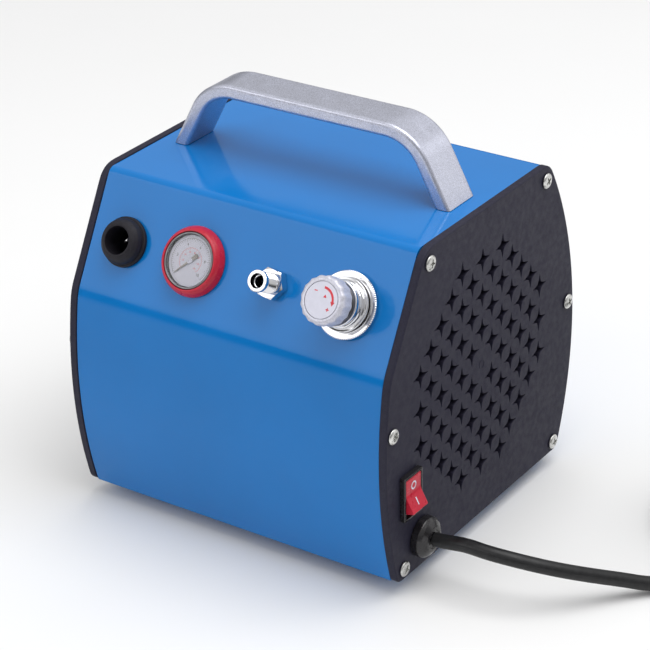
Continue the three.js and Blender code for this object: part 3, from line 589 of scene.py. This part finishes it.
def add_plug():
    x, y = on_coil(COIL_EXIT, OUTER_TURN)
    turn = Matrix.Rotation(COIL_EXIT + math.pi / 2, 4, "Z")
    place = Matrix.Translation(at(x, y, PLUG_AXIS)) @ turn @ TO_X @ Matrix.Scale(MM, 4)
    profile = [(0, PLUG_START), (4.3, PLUG_START, 0.8)]
    for i in range(7):
        start = PLUG_START + 3 + 4.6 * i
        radius = 4.5 + 0.36 * i
        groove = radius - 0.9
        profile += [(radius, start), (radius, start + 2.6), (groove, start + 3), (groove, start + 4.2)]
    profile += [
        (8.6, PLUG_NECK - 1, 3), (12.6, PLUG_NECK + 2, 4), (16.8, PLUG_NECK + 8, 5),
        (18.5, PLUG_NECK + 15, 3), (18.5, PLUG_FACE - 6, 0.4), (18.1, PLUG_FACE - 5.6),
        (18.1, PLUG_FACE - 4.8), (18.5, PLUG_FACE - 4.4, 0.4), (18.5, PLUG_FACE, 1.4), (0, PLUG_FACE),
    ]
    body = build("plug_shell", turned(profile, 0.3), place, "plastic_black", stands_for=["plug_body"])
    pieces = [body]
    for name, side in (("left", 1), ("right", -1)):
        start = PLUG_FACE + GAP
        end = start + PIN_LENGTH
        profile = [(0, start), (2.4, start), (2.4, end - 1.6, 1.2), (1.5, end, 0.6), (0, end)]
        pin = turned(profile, 0.3, sides=40)
        offset = Matrix.Translation((side * PIN_SPACING / 2, 0, 0))
        pieces.append(build(
            f"contact_{name}", moved(pin, offset), place, "screw_zinc", stands_for=[f"plug_pin_{name}"]))
    return pieces


add_camera()
add_cord()
add_gland()

# ---- Case -----------------------------------------------------------------------------------------


def arc(centre_y, centre_z, radius, start, end, steps):
    angles = [start + (end - start) * i / steps for i in range(steps + 1)]
    return [(centre_y + radius * math.cos(a), centre_z + radius * math.sin(a)) for a in angles]


def curve(start, corner, end, steps=8):
    a, b, c = Vector(start), Vector(corner), Vector(end)
    shares = [i / steps for i in range(1, steps)]
    return [tuple(a.lerp(b, share).lerp(b.lerp(c, share), share)) for share in shares]


def arc_y(arc_of, side, z, inset):
    """Y of the front or back arc at a height."""
    centre_y, centre_z, radius = arc_of
    return centre_y + side * math.sqrt((radius - inset) ** 2 - (z - centre_z) ** 2)


def wrap_path(inset, rounding, foot):
    """The side profile from low on the front, over the top, to low on the back."""
    bend, top_front, top_back = rounding
    front_y, front_z, front_radius = FRONT_ARC
    back_y, back_z, back_radius = BACK_ARC
    front = front_radius - inset
    back = back_radius - inset
    top = CASE_HEIGHT - inset
    up = Vector((math.sin(PANEL_TILT), math.cos(PANEL_TILT)))
    base = Vector(PANEL_POINT) + inset * Vector((up.y, -up.x))
    from_centre = base - Vector((front_y, front_z))
    along = from_centre.dot(up)
    corner = base + up * (-along - math.sqrt(along ** 2 - from_centre.length_squared + front ** 2))
    crease = base + up * ((top - base.y) / up.y)
    rear = (arc_y(BACK_ARC, 1, top, inset), top)

    low = math.pi + math.asin((front_z - foot) / front)
    high = math.pi - math.asin((corner.y - front_z) / front) + bend / front
    path = arc(front_y, front_z, front, low, high, 40)
    after = tuple(corner + up * bend)
    path += curve(path[-1], corner, after) + [after]
    before = tuple(crease - up * top_front)
    path += [before] + curve(before, crease, (crease.x + top_front, top)) + [(crease.x + top_front, top)]
    path.append((rear[0] - top_back, top))
    high = math.asin((top - back_z) / back) - top_back / back
    down = arc(back_y, back_z, back, high, -math.asin((back_z - foot) / back), 40)
    return path + curve(path[-1], rear, down[0]) + down


def case_outline(inset, rounding):
    lift = inset + BOTTOM_ROUNDING
    path = wrap_path(inset, rounding, lift)
    back = arc_y(BACK_ARC, 1, inset, inset)
    front = arc_y(FRONT_ARC, -1, inset, inset)
    path += curve(path[-1], (back, inset), (back - BOTTOM_ROUNDING, inset))
    path.append((back - BOTTOM_ROUNDING, inset))
    path.append((front + BOTTOM_ROUNDING, inset))
    return path + curve(path[-1], (front, inset), path[0])


def add_shell():
    half = CASE_WIDTH / 2 - PLATE - GAP
    outside = wrap_path(SHELL_INSET, SHELL_ROUNDING, SHELL_INSET)
    inside = wrap_path(SHELL_INSET + SHEET, SHELL_ROUNDING, SHELL_INSET)[::-1]
    rings = [[(x, y, z) for y, z in outside + inside] for x in (-half, half)]
    sheet = mesh_of("case_skin", skin(rings, caps=True))
    holes = []
    gauge_x = PIVOTS["gauge_needle_turn"].x
    bores = (
        (middle("holder_grommet").x, 9.2), (gauge_x, 13.9), (middle("outlet_nut").x, 5.3),
        (middle("regulator_body").x, 10.8),
    )
    for x, radius in bores:
        bore = lathe([(0, -5), (radius, -5), (radius, 5), (0, 5)])
        holes.append(moved(bore, IN_CASE.inverted() @ on_panel(x)))
    mesh = carve(sheet, *holes)
    mesh.transform(IN_CASE)
    add_piece("case_skin", mesh, "shell_blue", stands_for=["case_shell"], sharp=30)


def star(centre_y, centre_z, grow=0):
    """A four-pointed star, its tips up, down, to the front and to the back."""
    tip, *sides, notch = STAR_FLANK
    half = [(0, tip[1] + grow)] + [(across + grow, height) for across, height in sides]
    corner = (notch[0] + grow, notch[1] + grow)
    quarter = half + [corner] + [(height, across) for across, height in half[:0:-1]]
    points = []
    for _ in range(4):
        points += [(centre_y + y, centre_z + z) for y, z in quarter]
        quarter = [(z, -y) for y, z in quarter]
    return points


def star_centres():
    reach = range(-6, 7)
    pairs = [(j, k) for j in reach for k in reach if (j + k) % 2 == 0 and abs(j) + abs(k) <= 8]
    return [(j * STAR_PITCH, GRILLE_Z + k * STAR_PITCH) for j, k in pairs if j or k]


def add_plate(name, side, extra_holes):
    """An end plate with a rounded outer edge, laid in the YZ plane with its face at x = PLATE."""
    edge = 0.85
    loops = [(0.3, 0), (0, 0.3), (0, PLATE - edge)]
    steps = 7
    for i in range(1, steps + 1):
        angle = math.pi / 2 * i / steps
        loops.append((edge * (1 - math.cos(angle)), PLATE - edge + edge * math.sin(angle)))
    outlines = [(x, case_outline(inset, PLATE_ROUNDING)) for inset, x in loops]
    parts = [skin([[(x, y, z) for y, z in outline] for x, outline in outlines])]
    chamfer = 0.18
    stars = star_centres()
    front = [star(y, z, chamfer) for y, z in stars] + extra_holes
    deep = [star(y, z) for y, z in stars] + extra_holes
    parts.append(filled([outlines[-1][1], *front], PLATE))
    parts.append(filled([outlines[0][1], *deep], 0))
    for wide, narrow in zip(front, deep):
        rings = [(PLATE, wide), (PLATE - chamfer, narrow), (0, narrow)]
        parts.append(skin([[(x, y, z) for y, z in loop] for x, loop in rings]))
    below, above = PLATE - 0.1, PLATE + 0.12
    mark = lathe([(1.9, below), (1.9, above), (2.3, above), (2.3, below)], 32)
    parts.append(moved(mark, Matrix.Translation((0, 0, GRILLE_Z)) @ TO_X))
    place = IN_CASE @ Matrix.Translation((side * (CASE_WIDTH / 2 - PLATE), 0, 0))
    if side < 0:
        place = place @ Matrix.Scale(-1, 4, (1, 0, 0))
    build(f"end_plate_{name}", merge(*parts), place, "plate_black", stands_for=[f"side_plate_{name}"],
          sharp=30)


def add_screws():
    head = [
        (0, -8), (1.9, -8), (1.9, 0.3), (3.75, 0.3, 0.3), (3.8, 0.9, 0.5), (3.2, 1.4, 0.9), (2, 1.68, 1),
        (0, 1.7),
    ]
    slot = rectangle(-2.1, -0.42, 2.1, 0.42)
    cross = []
    for c, s in ((0.8, 0.6), (-0.6, 0.8)):
        cross.append(prism([(x * c - y * s, x * s + y * c) for x, y in slot], 0.7, 3))
    pit = lathe([(0, 0.5), (1.0, 0.95), (1.0, 3), (0, 3)], 24)
    mesh = carve(mesh_of("screw", turned(head, 0.2, sides=64)), *cross, pit)
    for side_name, side in (("right", 1), ("left", -1)):
        for i in range(1, 7):
            node = f"plate_screw_{side_name}_{i}"
            spot = middle(node)
            spot.x = at(side * CASE_WIDTH / 2, 0, 0).x
            turn = Matrix.Rotation(i * 0.7, 4, "Z")
            axes = Matrix(((0, 0, side, 0), (1, 0, 0, 0), (0, side, 0, 0), (0, 0, 0, 1)))
            copy = mesh.copy()
            copy.transform(Matrix.Translation(spot) @ axes @ turn @ Matrix.Scale(MM, 4))
            add_piece(f"pan_head_{side_name}_{i}", copy, "screw_zinc", stands_for=[node])


def add_feet():
    profile = [
        (0, FLOOR + 2.5), (3, FLOOR + 2.5), (3, FLOOR, 0.5), (7.6, FLOOR, 0.9), (8, FLOOR + 1.2, 0.5),
        (7.4, -0.3, 0.3), (0, -0.3),
    ]
    for node in ("foot_front_left", "foot_front_right", "foot_back_left", "foot_back_right"):
        spot = middle(node)
        place = Matrix.Translation((spot.x, spot.y, ORIGIN.z)) @ Matrix.Scale(MM, 4)
        build(f"rubber_{node}", turned(profile, 0.3), place, "rubber_black", stands_for=[node])


# ---- Handle ---------------------------------------------------------------------------------------


def arch(depth):
    """The whole arch at a depth into the bar, from the right foot to the left, as (x, z) points."""
    foot = CASE_HEIGHT - SHELL_INSET + 0.3
    radius = HANDLE_RADIUS - depth
    run = radius * math.tan((math.pi / 2 - HANDLE_LEAN) / 2)
    top = HANDLE_TOP - depth
    start = HANDLE_FOOT - depth / math.cos(HANDLE_LEAN)
    corner = start - (top - foot) * math.tan(HANDLE_LEAN)
    bend = arc(corner - run, top - radius, radius, HANDLE_LEAN, math.pi / 2, 20)
    half = [(start, foot)] + bend
    return half + [(-x, z) for x, z in reversed(half)]


def add_handle():
    half = HANDLE_WIDE / 2
    section = rounded(rectangle(-half, 0, half, HANDLE_THICK), 2, steps=6)
    lines = [(y, arch(depth)) for y, depth in section]
    count = len(lines[0][1])
    rings = [[(line[i][0], HANDLE_Y + y, line[i][1]) for y, line in lines] for i in range(count)]
    bar = skin(rings, caps=True)
    stud = [(0, CASE_HEIGHT - 9), (2, CASE_HEIGHT - 9), (2, CASE_HEIGHT + 2), (0, CASE_HEIGHT + 2)]
    nut_x = middle("handle_nut_right").x - ORIGIN.x
    studs = [moved(lathe(stud, 32), Matrix.Translation((s * nut_x / MM, HANDLE_Y, 0))) for s in (-1, 1)]
    build("grip", merge(bar, *studs), IN_CASE, "handle_silver", stands_for=["handle"], sharp=50)


# ---- Panel fittings -------------------------------------------------------------------------------


def add_holder():
    place = on_panel(middle("holder_grommet").x)
    profile = [
        (6.8, -4.5, 0.5), (10.8, -4.5, 0.6), (10.8, -1.5, 0.4), (8.9, -1.5, 0.2), (8.9, 0.3, 0.2),
        (12.1, 0.3, 0.4), (12.1, 2.2, 0.6), (10.95, 2.3, 0.25), (10.9, 2.9, 0.25), (11.2, 3.4, 0.8),
        (10.5, 5.6, 2), (9.2, 7.4, 2), (7.7, 8.3, 0.5), (6.8, 8.1, 0.4),
    ]
    build("holder_bush", turned(profile, 0.3, steps=5), place, "rubber_black",
          stands_for=["holder_grommet"])


def glyph(text, size, x, y, turn=0.0):
    """A flat printed character as a shape, centred at x, y."""
    data = bpy.data.curves.new("glyph", "FONT")
    data.body = text
    data.size = size
    data.align_x = "CENTER"
    data.align_y = "CENTER"
    data.resolution_u = 3
    writer = bpy.data.objects.new("glyph", data)
    bpy.context.scene.collection.objects.link(writer)
    bpy.context.view_layer.update()
    mesh = bpy.data.meshes.new_from_object(writer.evaluated_get(bpy.context.evaluated_depsgraph_get()))
    matrix = Matrix.Translation((x, y, 0)) @ Matrix.Rotation(turn, 4, "Z")
    shape = moved(([tuple(v.co) for v in mesh.vertices], [list(p.vertices) for p in mesh.polygons]), matrix)
    bpy.data.objects.remove(writer)
    bpy.data.meshes.remove(mesh)
    return shape


def ring_sector(inner, outer, start, end, height, steps=24):
    angles = [start + (end - start) * i / steps for i in range(steps + 1)]
    rings = [[(r * math.cos(a), r * math.sin(a), height) for a in angles] for r in (inner, outer)]
    return skin(rings, around=False)


DIAL_START = math.radians(225)
DIAL_SWEEP = math.radians(270)


def dial_angle(share):
    return DIAL_START - DIAL_SWEEP * share


def ticks(count, every, inner, long_inner, outer, width, height):
    marks = []
    for i in range(count + 1):
        start = long_inner if i % every == 0 else inner
        mark = flat_face(rectangle(start, -width / 2, outer, width / 2), height)
        marks.append(moved(mark, Matrix.Rotation(dial_angle(i / count), 4, "Z")))
    return marks


def add_gauge():
    place = on_panel(PIVOTS["gauge_needle_turn"].x)
    bezel = [
        (13.7, 0.3), (16.8, 0.3, 0.4), (16.75, 1.6, 1), (16, 3.9, 3), (15.1, 5.4, 1.2), (14.4, 6, 0.5),
        (13.7, 6, 0.2),
    ]
    build("gauge_ring", turned(bezel, 0.3, steps=6), place, "red_plastic", stands_for=["gauge_bezel"])
    cup = [
        (0, -16), (13.4, -16, 0.6), (13.4, 5.8, 0.35), (12.4, 5.8, 0.35), (12.4, 4.95, 0.1),
        (12.3, -13), (0, -13),
    ]
    stem = polar([-21, -16], lambda angle, level, height: hex_radius(angle, 5), 96)
    tail = lathe([(0, -25), (3.6, -25), (3.6, -20), (0, -20)], 48)
    build("gauge_cup", merge(turned(cup, 0.3), stem, tail), place, "steel_dark", stands_for=["gauge_case"])
    face = [(1, 3.2), (12.1, 3.2), (12.1, 3.7), (1, 3.7)]
    build("gauge_face", turned(face, 0.08), place, "print_white", stands_for=["gauge_dial"])
    lens = [(0, 4.95), (12.1, 4.95), (12.1, 5.5), (0, 5.5)]
    build("gauge_window", turned(lens, 0.15), place, "lens_clear", stands_for=["gauge_lens"])

    top = 3.72
    black = ticks(50, 5, 9.7, 9.1, 10.5, 0.11, top)
    for i in range(6):
        angle = dial_angle(i / 5)
        number = glyph(str(2 * i), 1.9, 7.9 * math.cos(angle), 7.9 * math.sin(angle))
        black.append(moved(number, Matrix.Translation((0, 0, top))))
    black.append(ring_sector(10.5, 10.62, dial_angle(0), dial_angle(1), top, 90))
    build("gauge_scale", merge(*black), place, "print_black", sharp=60)
    red = ticks(28, 4, 5.5, 5.1, 6.1, 0.1, top)
    red.append(ring_sector(6.1, 6.2, dial_angle(0), dial_angle(1), top, 90))
    for i in range(8):
        angle = dial_angle(i / 7)
        number = glyph(str(20 * i), 1.1, 4.2 * math.cos(angle), 4.2 * math.sin(angle))
        red.append(moved(number, Matrix.Translation((0, 0, top))))
    build("gauge_inner_scale", merge(*red), place, "print_red", sharp=60)

    blade = [
        (0, -0.5), (9.7, -0.14), (9.7, 0.14), (0, 0.5), (-4.2, 1.15), (-4.8, 0.7), (-4.8, -0.7),
        (-4.2, -1.15),
    ]
    pointer = moved(prism(blade, 4.05, 4.4), Matrix.Rotation(DIAL_START, 4, "Z"))
    pin = lathe([(0, 0), (0.6, 0), (0.6, 4.1), (0, 4.1)], 24)
    build("gauge_pointer", merge(pointer, pin), place, "needle_pale", body="gauge_needle",
          stands_for=["gauge_needle"], bevel=0.06)
    hub = [(0, 4.38), (1.5, 4.38, 0.1), (1.5, 4.62, 0.12), (0.75, 4.72, 0.1), (0.6, 4.45), (0, 4.45)]
    build("gauge_hub", turned(hub, 0.05, sides=48), place, "print_white", body="gauge_needle")


def hex_radius(angle, apothem):
    return apothem / math.cos((angle % (math.pi / 3)) - math.pi / 6)


def hex_nut(apothem, low, high, bore, sides=144):
    """A hexagon with a bore. Its top corners are turned off to a cone, as on a real nut."""
    cone_slope = 0.55
    rings = []
    for step in range(4):
        ring = []
        for i in range(sides):
            angle = 2 * math.pi * i / sides
            corner = hex_radius(angle, apothem)
            drop = (corner - apothem) * cone_slope
            height = [low, high - drop, high - drop * 0.5, high][step]
            radius = [corner, corner, (corner + apothem) / 2, apothem][step]
            ring.append((radius * math.cos(angle), radius * math.sin(angle), height))
        rings.append(ring)
    rings += [circle(bore, high, sides), circle(bore, low, sides)]
    return skin(rings, close=True)


def thread(radius, depth, pitch, low, high, sides=64):
    """A helical thread's outside: a V that climbs one pitch per turn, faded out at both ends."""
    count = int((high - low) / pitch * 8)
    heights = [low + (high - low) * i / count for i in range(count + 1)]

    def radius_at(angle, level, height):
        phase = (height / pitch - angle / (2 * math.pi)) % 1
        fade = smooth((height - low) / pitch) * smooth((high - height) / pitch)
        return radius - depth * fade * abs(2 * phase - 1)

    return polar(heights, radius_at, sides, caps=False)


# Outer radius, depth and pitch of a G1/8 thread.
PIPE_THREAD = (4.86, 0.58, 0.907)


def add_outlet():
    place = on_panel(middle("outlet_nut").x)
    body = [
        (2.75, -18, 0.2), (3.3, -18, 0.3), (3.3, -12.2, 0.2), (4.2, -12, 0.2), (4.2, 13, 0.1),
        (4.75, 13.2, 0.1), (5.1, 13.5, 0.2), (5.1, 15.5, 0.45), (3.5, 15.5, 0.2), (3.1, 12.8, 0.3),
        (2.75, 12.6, 0.2),
    ]
    front_thread = thread(*PIPE_THREAD, 5.1, 13.2)
    rear_thread = thread(*PIPE_THREAD, -12, 0.3)
    nut = moved(hex_nut(6.6, 0.3, 5.2, 4), Matrix.Rotation(math.radians(-8), 4, "Z"))
    shape = merge(turned(body, 0.2), front_thread, rear_thread, nut)
    build("outlet_nipple", shape, place, "fitting_chrome", stands_for=["outlet_fitting"], sharp=28)
    build("outlet_locknut", hex_nut(6.5, -4.5, -1.5, 5.16), place, "brass_parts",
          stands_for=["outlet_nut"], sharp=28)


def add_regulator():
    place = on_panel(PIVOTS["regulator_turn"].x)
    teeth = 100

    def rim(angle, level, height):
        base = [15.3, 15.8, 15.8, 15.2][level]
        bite = [0.1, 0.35, 0.35, 0.1][level]
        return base - bite * abs(2 * ((angle * teeth / (2 * math.pi)) % 1) - 1)

    knurl = polar([0.3, 0.8, 2.6, 3.1], rim, teeth * 4, caps=False)
    washer = turned([
        (10.8, 0.3, 0.2), (15.32, 0.3, 0), (15.22, 3.1, 0), (14.2, 3.2, 0.4), (11.4, 2.9, 0.3),
        (10.8, 2.9, 0.2),
    ])
    build("regulator_washer", merge(knurl, washer), place, "fitting_chrome",
          stands_for=["regulator_ring"], sharp=28)
    sleeve = [
        (4.6, 3.6), (12.5, 3.6, 0.5), (12.5, 4.9, 0.5), (11.2, 5.1, 0.3), (11, 7.9, 0.2), (10.6, 8.3, 0.2),
        (10.6, 9, 0.2), (11, 9.4, 0.2), (11, 12.3, 0.8), (4.6, 12.3),
    ]
    build("regulator_collar", turned(sleeve, 0.2, steps=5), place, "fitting_chrome",
          stands_for=["regulator_sleeve"])
    stem = [
        (0, -18), (4, -18, 0.4), (4, 12.6), (9.2, 12.6, 0.3), (9.2, 15.6, 0.3), (4, 15.6), (4, 21.2, 0.4),
        (0, 21.2),
    ]
    build("regulator_stem", turned(stem, 0.2), place, "steel_dark", body="regulator_spindle",
          stands_for=["regulator_spindle"])
    block_body = block((-12, -12, -28), (12, 12, -6))
    neck = turned([(5.2, -6.5), (10.4, -6.5), (10.4, 3, 0.3), (5.2, 3, 0.3)], 0)
    build("regulator_block", merge(block_body, neck), place, "brass_parts",
          stands_for=["regulator_body"], bevel=0.8)

    # The knob: flutes that fade into a smooth rounded rim at the front, and a recess for the label.
    # Each row is a height, a radius and the share of the flutes' depth there.
    flutes = 16
    sides = 16 * flutes
    rows = [
        (16, 10.6, 0.2), (16.5, 11.2, 0.7), (17.2, 11.4, 1), (20, 11.4, 1), (22.4, 11.4, 1),
        (23.4, 11.2, 0.9), (24.1, 10.7, 0.6), (24.45, 10.0, 0.25), (24.5, 9.2, 0),
    ]

    def flute(angle, level, height):
        radius, share = rows[level][1:]
        return radius - 0.5 * share * (0.5 - 0.5 * math.cos(flutes * angle)) ** 0.8

    side = polar([row[0] for row in rows], flute, sides, caps=False)
    recess = skin([circle(r, z, sides) for r, z in ((9.2, 24.5), (8.6, 24.45), (8.6, 23.7), (0, 23.7))])
    edge = []
    for i in range(sides):
        angle = 2 * math.pi * i / sides
        radius = flute(angle, 0, 0)
        edge.append((radius * math.cos(angle), radius * math.sin(angle), rows[0][0]))
    back = skin([circle(r, z, sides) for r, z in ((0, 21.5), (4.3, 21.5), (4.3, 16))] + [edge])
    build("regulator_grip", merge(side, recess, back), place, "regulator_silver", body="regulator_knob",
          stands_for=["regulator_knob"], sharp=40)
    disc = [(0, 24), (8.3, 24), (8.3, 24.5), (0, 24.5)]
    build("label_disc", turned(disc, 0.12), place, "print_white", body="regulator_knob",
          stands_for=["knob_label"])
    height = 24.52
    arrow = ring_sector(5.3, 6.4, math.radians(88), math.radians(2), height)
    marks = [
        [(4.7, 0.4), (7.0, 0.4), (5.9, -1.6)],
        rectangle(-4.5, 3.4, -2.9, 3.85),
        rectangle(3.4, -3.7, 5.0, -3.25),
        rectangle(3.97, -4.27, 4.43, -2.67),
        [(0.6, 1.4), (2.4, 1.4), (1.5, 2.9)],
    ]
    signs = [flat_face(mark, height) for mark in marks]
    build("label_arrow", merge(arrow, *signs), place, "print_red", body="regulator_knob", sharp=60)


# ---- Switch ---------------------------------------------------------------------------------------

SWITCH = (-64.4, 44.4)
ROCKER_TILT = math.radians(14)


def frame_ring(outer, inner, low, high, radius):
    """A rounded rectangular frame between two heights, its faces closed."""
    levels = [
        (outer, radius, 0, low), (outer, radius, 0, high - 0.5), (outer, radius, -0.15, high - 0.15),
        (outer, radius, -0.5, high), (inner, 0.6, 0.25, high), (inner, 0.6, 0, high - 0.3),
        (inner, 0.6, 0, low),
    ]
    rings = []
    for half, corner, grow, height in levels:
        across, up = half[0] + grow, half[1] + grow
        loop = rounded(rectangle(-across, -up, across, up), corner, 6)
        rings.append([(x, y, height) for x, y in loop])
    return skin(rings, close=True)


def add_switch():
    plate_face = CASE_WIDTH / 2
    place = along_x(0, *SWITCH)
    opening = (6.5, 10.1)
    rim = frame_ring((7.75, 11.5), opening, plate_face + 0.3, plate_face + 2.8, 0.9)
    sleeve = frame_ring((7, 10.7), opening, 79, plate_face + 0.4, 0.6)
    well = block((-7, -10.7, 68), (7, 10.7, 79.2))
    terminals = [block((-2.4, z - 0.4, 60), (2.4, z + 0.4, 68.3)) for z in (-5, 5)]
    build("switch_frame", merge(rim, sleeve, well, *terminals), place, "plastic_black",
          stands_for=["switch_housing"], sharp=40)

    # The rocker's section in its own frame: X out of the plate, Y up, tilted about the pivot.
    reach = 8.4
    middle_x = 4.8
    rise = middle_x + reach * math.tan(ROCKER_TILT)
    section = rounded([
        (-2, 3, 0.3), (-2, -3, 0.3), (1.6, -reach, 0.8), (rise, -reach, 0.5), (middle_x, 0, 6),
        (rise, reach, 0.5), (1.6, reach, 0.8),
    ], 0.3, steps=6)
    half = 6.2
    pivot = PIVOTS["switch_rock"]
    tilt = Matrix.Rotation(-ROCKER_TILT, 4, "Y")
    place = Matrix.Translation(pivot) @ tilt @ Matrix.Scale(MM, 4)
    rings = []
    for y, shrink in ((-half, 0.25), (-half + 0.25, 0), (half - 0.25, 0), (half, 0.25)):
        centre = Vector((1.5, 0))
        ring = []
        for x, z in section:
            point = Vector((x, z)) - (Vector((x, z)) - centre).normalized() * shrink
            ring.append((point.x, y, point.y))
        rings.append(ring)
    build("switch_paddle", skin(rings, caps=True), place, "red_plastic", body="switch_rocker",
          stands_for=["switch_rocker"], sharp=40)

    # The marks lie flat on the two faces of the paddle.
    marks = []
    circle_mark = ring_sector(1.4, 2.15, 0, 2 * math.pi, 0, 40)
    bar_mark = flat_face(rectangle(-0.38, -1.9, 0.38, 1.9), 0)
    for side, shape in ((1, circle_mark), (-1, bar_mark)):
        lean = side * ROCKER_TILT
        spot = Vector((middle_x + 4 * math.tan(ROCKER_TILT) + 0.06, 0, side * 4))
        out = Vector((math.cos(lean), 0, -math.sin(lean)))
        up = Vector((math.sin(lean), 0, math.cos(lean)))
        across = Vector((0, 1, 0))
        matrix = Matrix((across, up, out)).transposed().to_4x4()
        marks.append(moved(shape, Matrix.Translation(spot) @ matrix))
    build("switch_marks", merge(*marks), place, "print_white", body="switch_rocker", sharp=60)


# ---- Inner pieces that keep their CAD shape -------------------------------------------------------


def dress_frame():
    """Gives every CAD node its material, and soft shading across its facets."""
    slots = {part["node"]: part["material_slot"] for part in RECORD["subparts"]}
    for name, node in frame["nodes"].items():
        node.data.materials.clear()
        node.data.materials.append(PAINT[slots[name]])
        soften(node.data, 32)


# ---- Floor and light ------------------------------------------------------------------------------


def add_floor():
    size = 6000
    sheet = flat_face(rectangle(-size, -size, size, size), 0)
    floor = bpy.data.objects.new("floor", mesh_of("floor", sheet))
    floor.data.transform(Matrix.Scale(MM, 4))
    bpy.context.scene.collection.objects.link(floor)
    surface = Surface("floor", (0.84, 0.84, 0.84), 0.7).tones(3, 0.99, 1.01)
    floor.data.materials.append(surface.material)


# The middle of the object, which every lamp faces, in metres.
LAMP_AIM = Vector((0, 0, 0.09))

# Each lamp's name, the way from the object to it, its distance and size in metres, and its radiance.
LAMPS = (
    ("front_lamp", (-0.5, -0.77, 0.45), 1.35, (0.95, 0.7), 1.4),
    ("top_lamp", (0.25, 0.05, 1), 1.6, (1.4, 1.4), 2.9),
    ("rear_lamp", (0.66, 0.73, 0.3), 1.8, (1.4, 1.0), 0.9),
)


def add_softbox(name, toward, distance, size, radiance):
    """A rectangular lamp that shines on the object from a direction, equally bright all over."""
    data = bpy.data.lights.new(name, "AREA")
    data.shape = "RECTANGLE"
    data.size, data.size_y = size
    data.energy = radiance * math.pi * size[0] * size[1]
    lamp = bpy.data.objects.new(name, data)
    bpy.context.scene.collection.objects.link(lamp)
    way = Vector(toward).normalized()
    spot = Matrix.Translation(LAMP_AIM + way * distance)
    lamp.matrix_world = spot @ way.to_track_quat("Z", "Y").to_matrix().to_4x4()


# How bright the sky is at each height above the horizon, from 0 to 1 straight up.
SKY = ((0.16, 0.08), (0.36, 0.62), (1.0, 0.80))


def add_light():
    world = bpy.data.worlds.new("studio")
    world.use_nodes = True
    tree = world.node_tree
    direction = tree.nodes.new("ShaderNodeTexCoord").outputs["Generated"]
    split = tree.nodes.new("ShaderNodeSeparateXYZ")
    ramp = tree.nodes.new("ShaderNodeValToRGB")
    tree.links.new(direction, split.inputs["Vector"])
    tree.links.new(split.outputs["Z"], ramp.inputs["Fac"])
    ramp.color_ramp.elements.new(0.5)
    for element, (height, value) in zip(ramp.color_ramp.elements, SKY):
        element.position = height
        element.color = (value, value, value, 1)
    tree.links.new(ramp.outputs["Color"], tree.nodes["Background"].inputs["Color"])
    bpy.context.scene.world = world
    bpy.context.scene.view_settings.view_transform = "Standard"
    for lamp in LAMPS:
        add_softbox(*lamp)


add_shell()
add_plate("right", 1, [
    rounded(rectangle(SWITCH[0] - 7.3, SWITCH[1] - 11, SWITCH[0] + 7.3, SWITCH[1] + 11), 0.5),
    [(GLAND[0] + x, GLAND[1] + z) for x, z, _ in circle(6.6, 0, 48)],
])
add_plate("left", -1, [])
add_screws()
add_feet()
add_handle()
add_holder()
add_gauge()
add_outlet()
add_regulator()
add_switch()
dress_frame()
add_floor()
add_light()
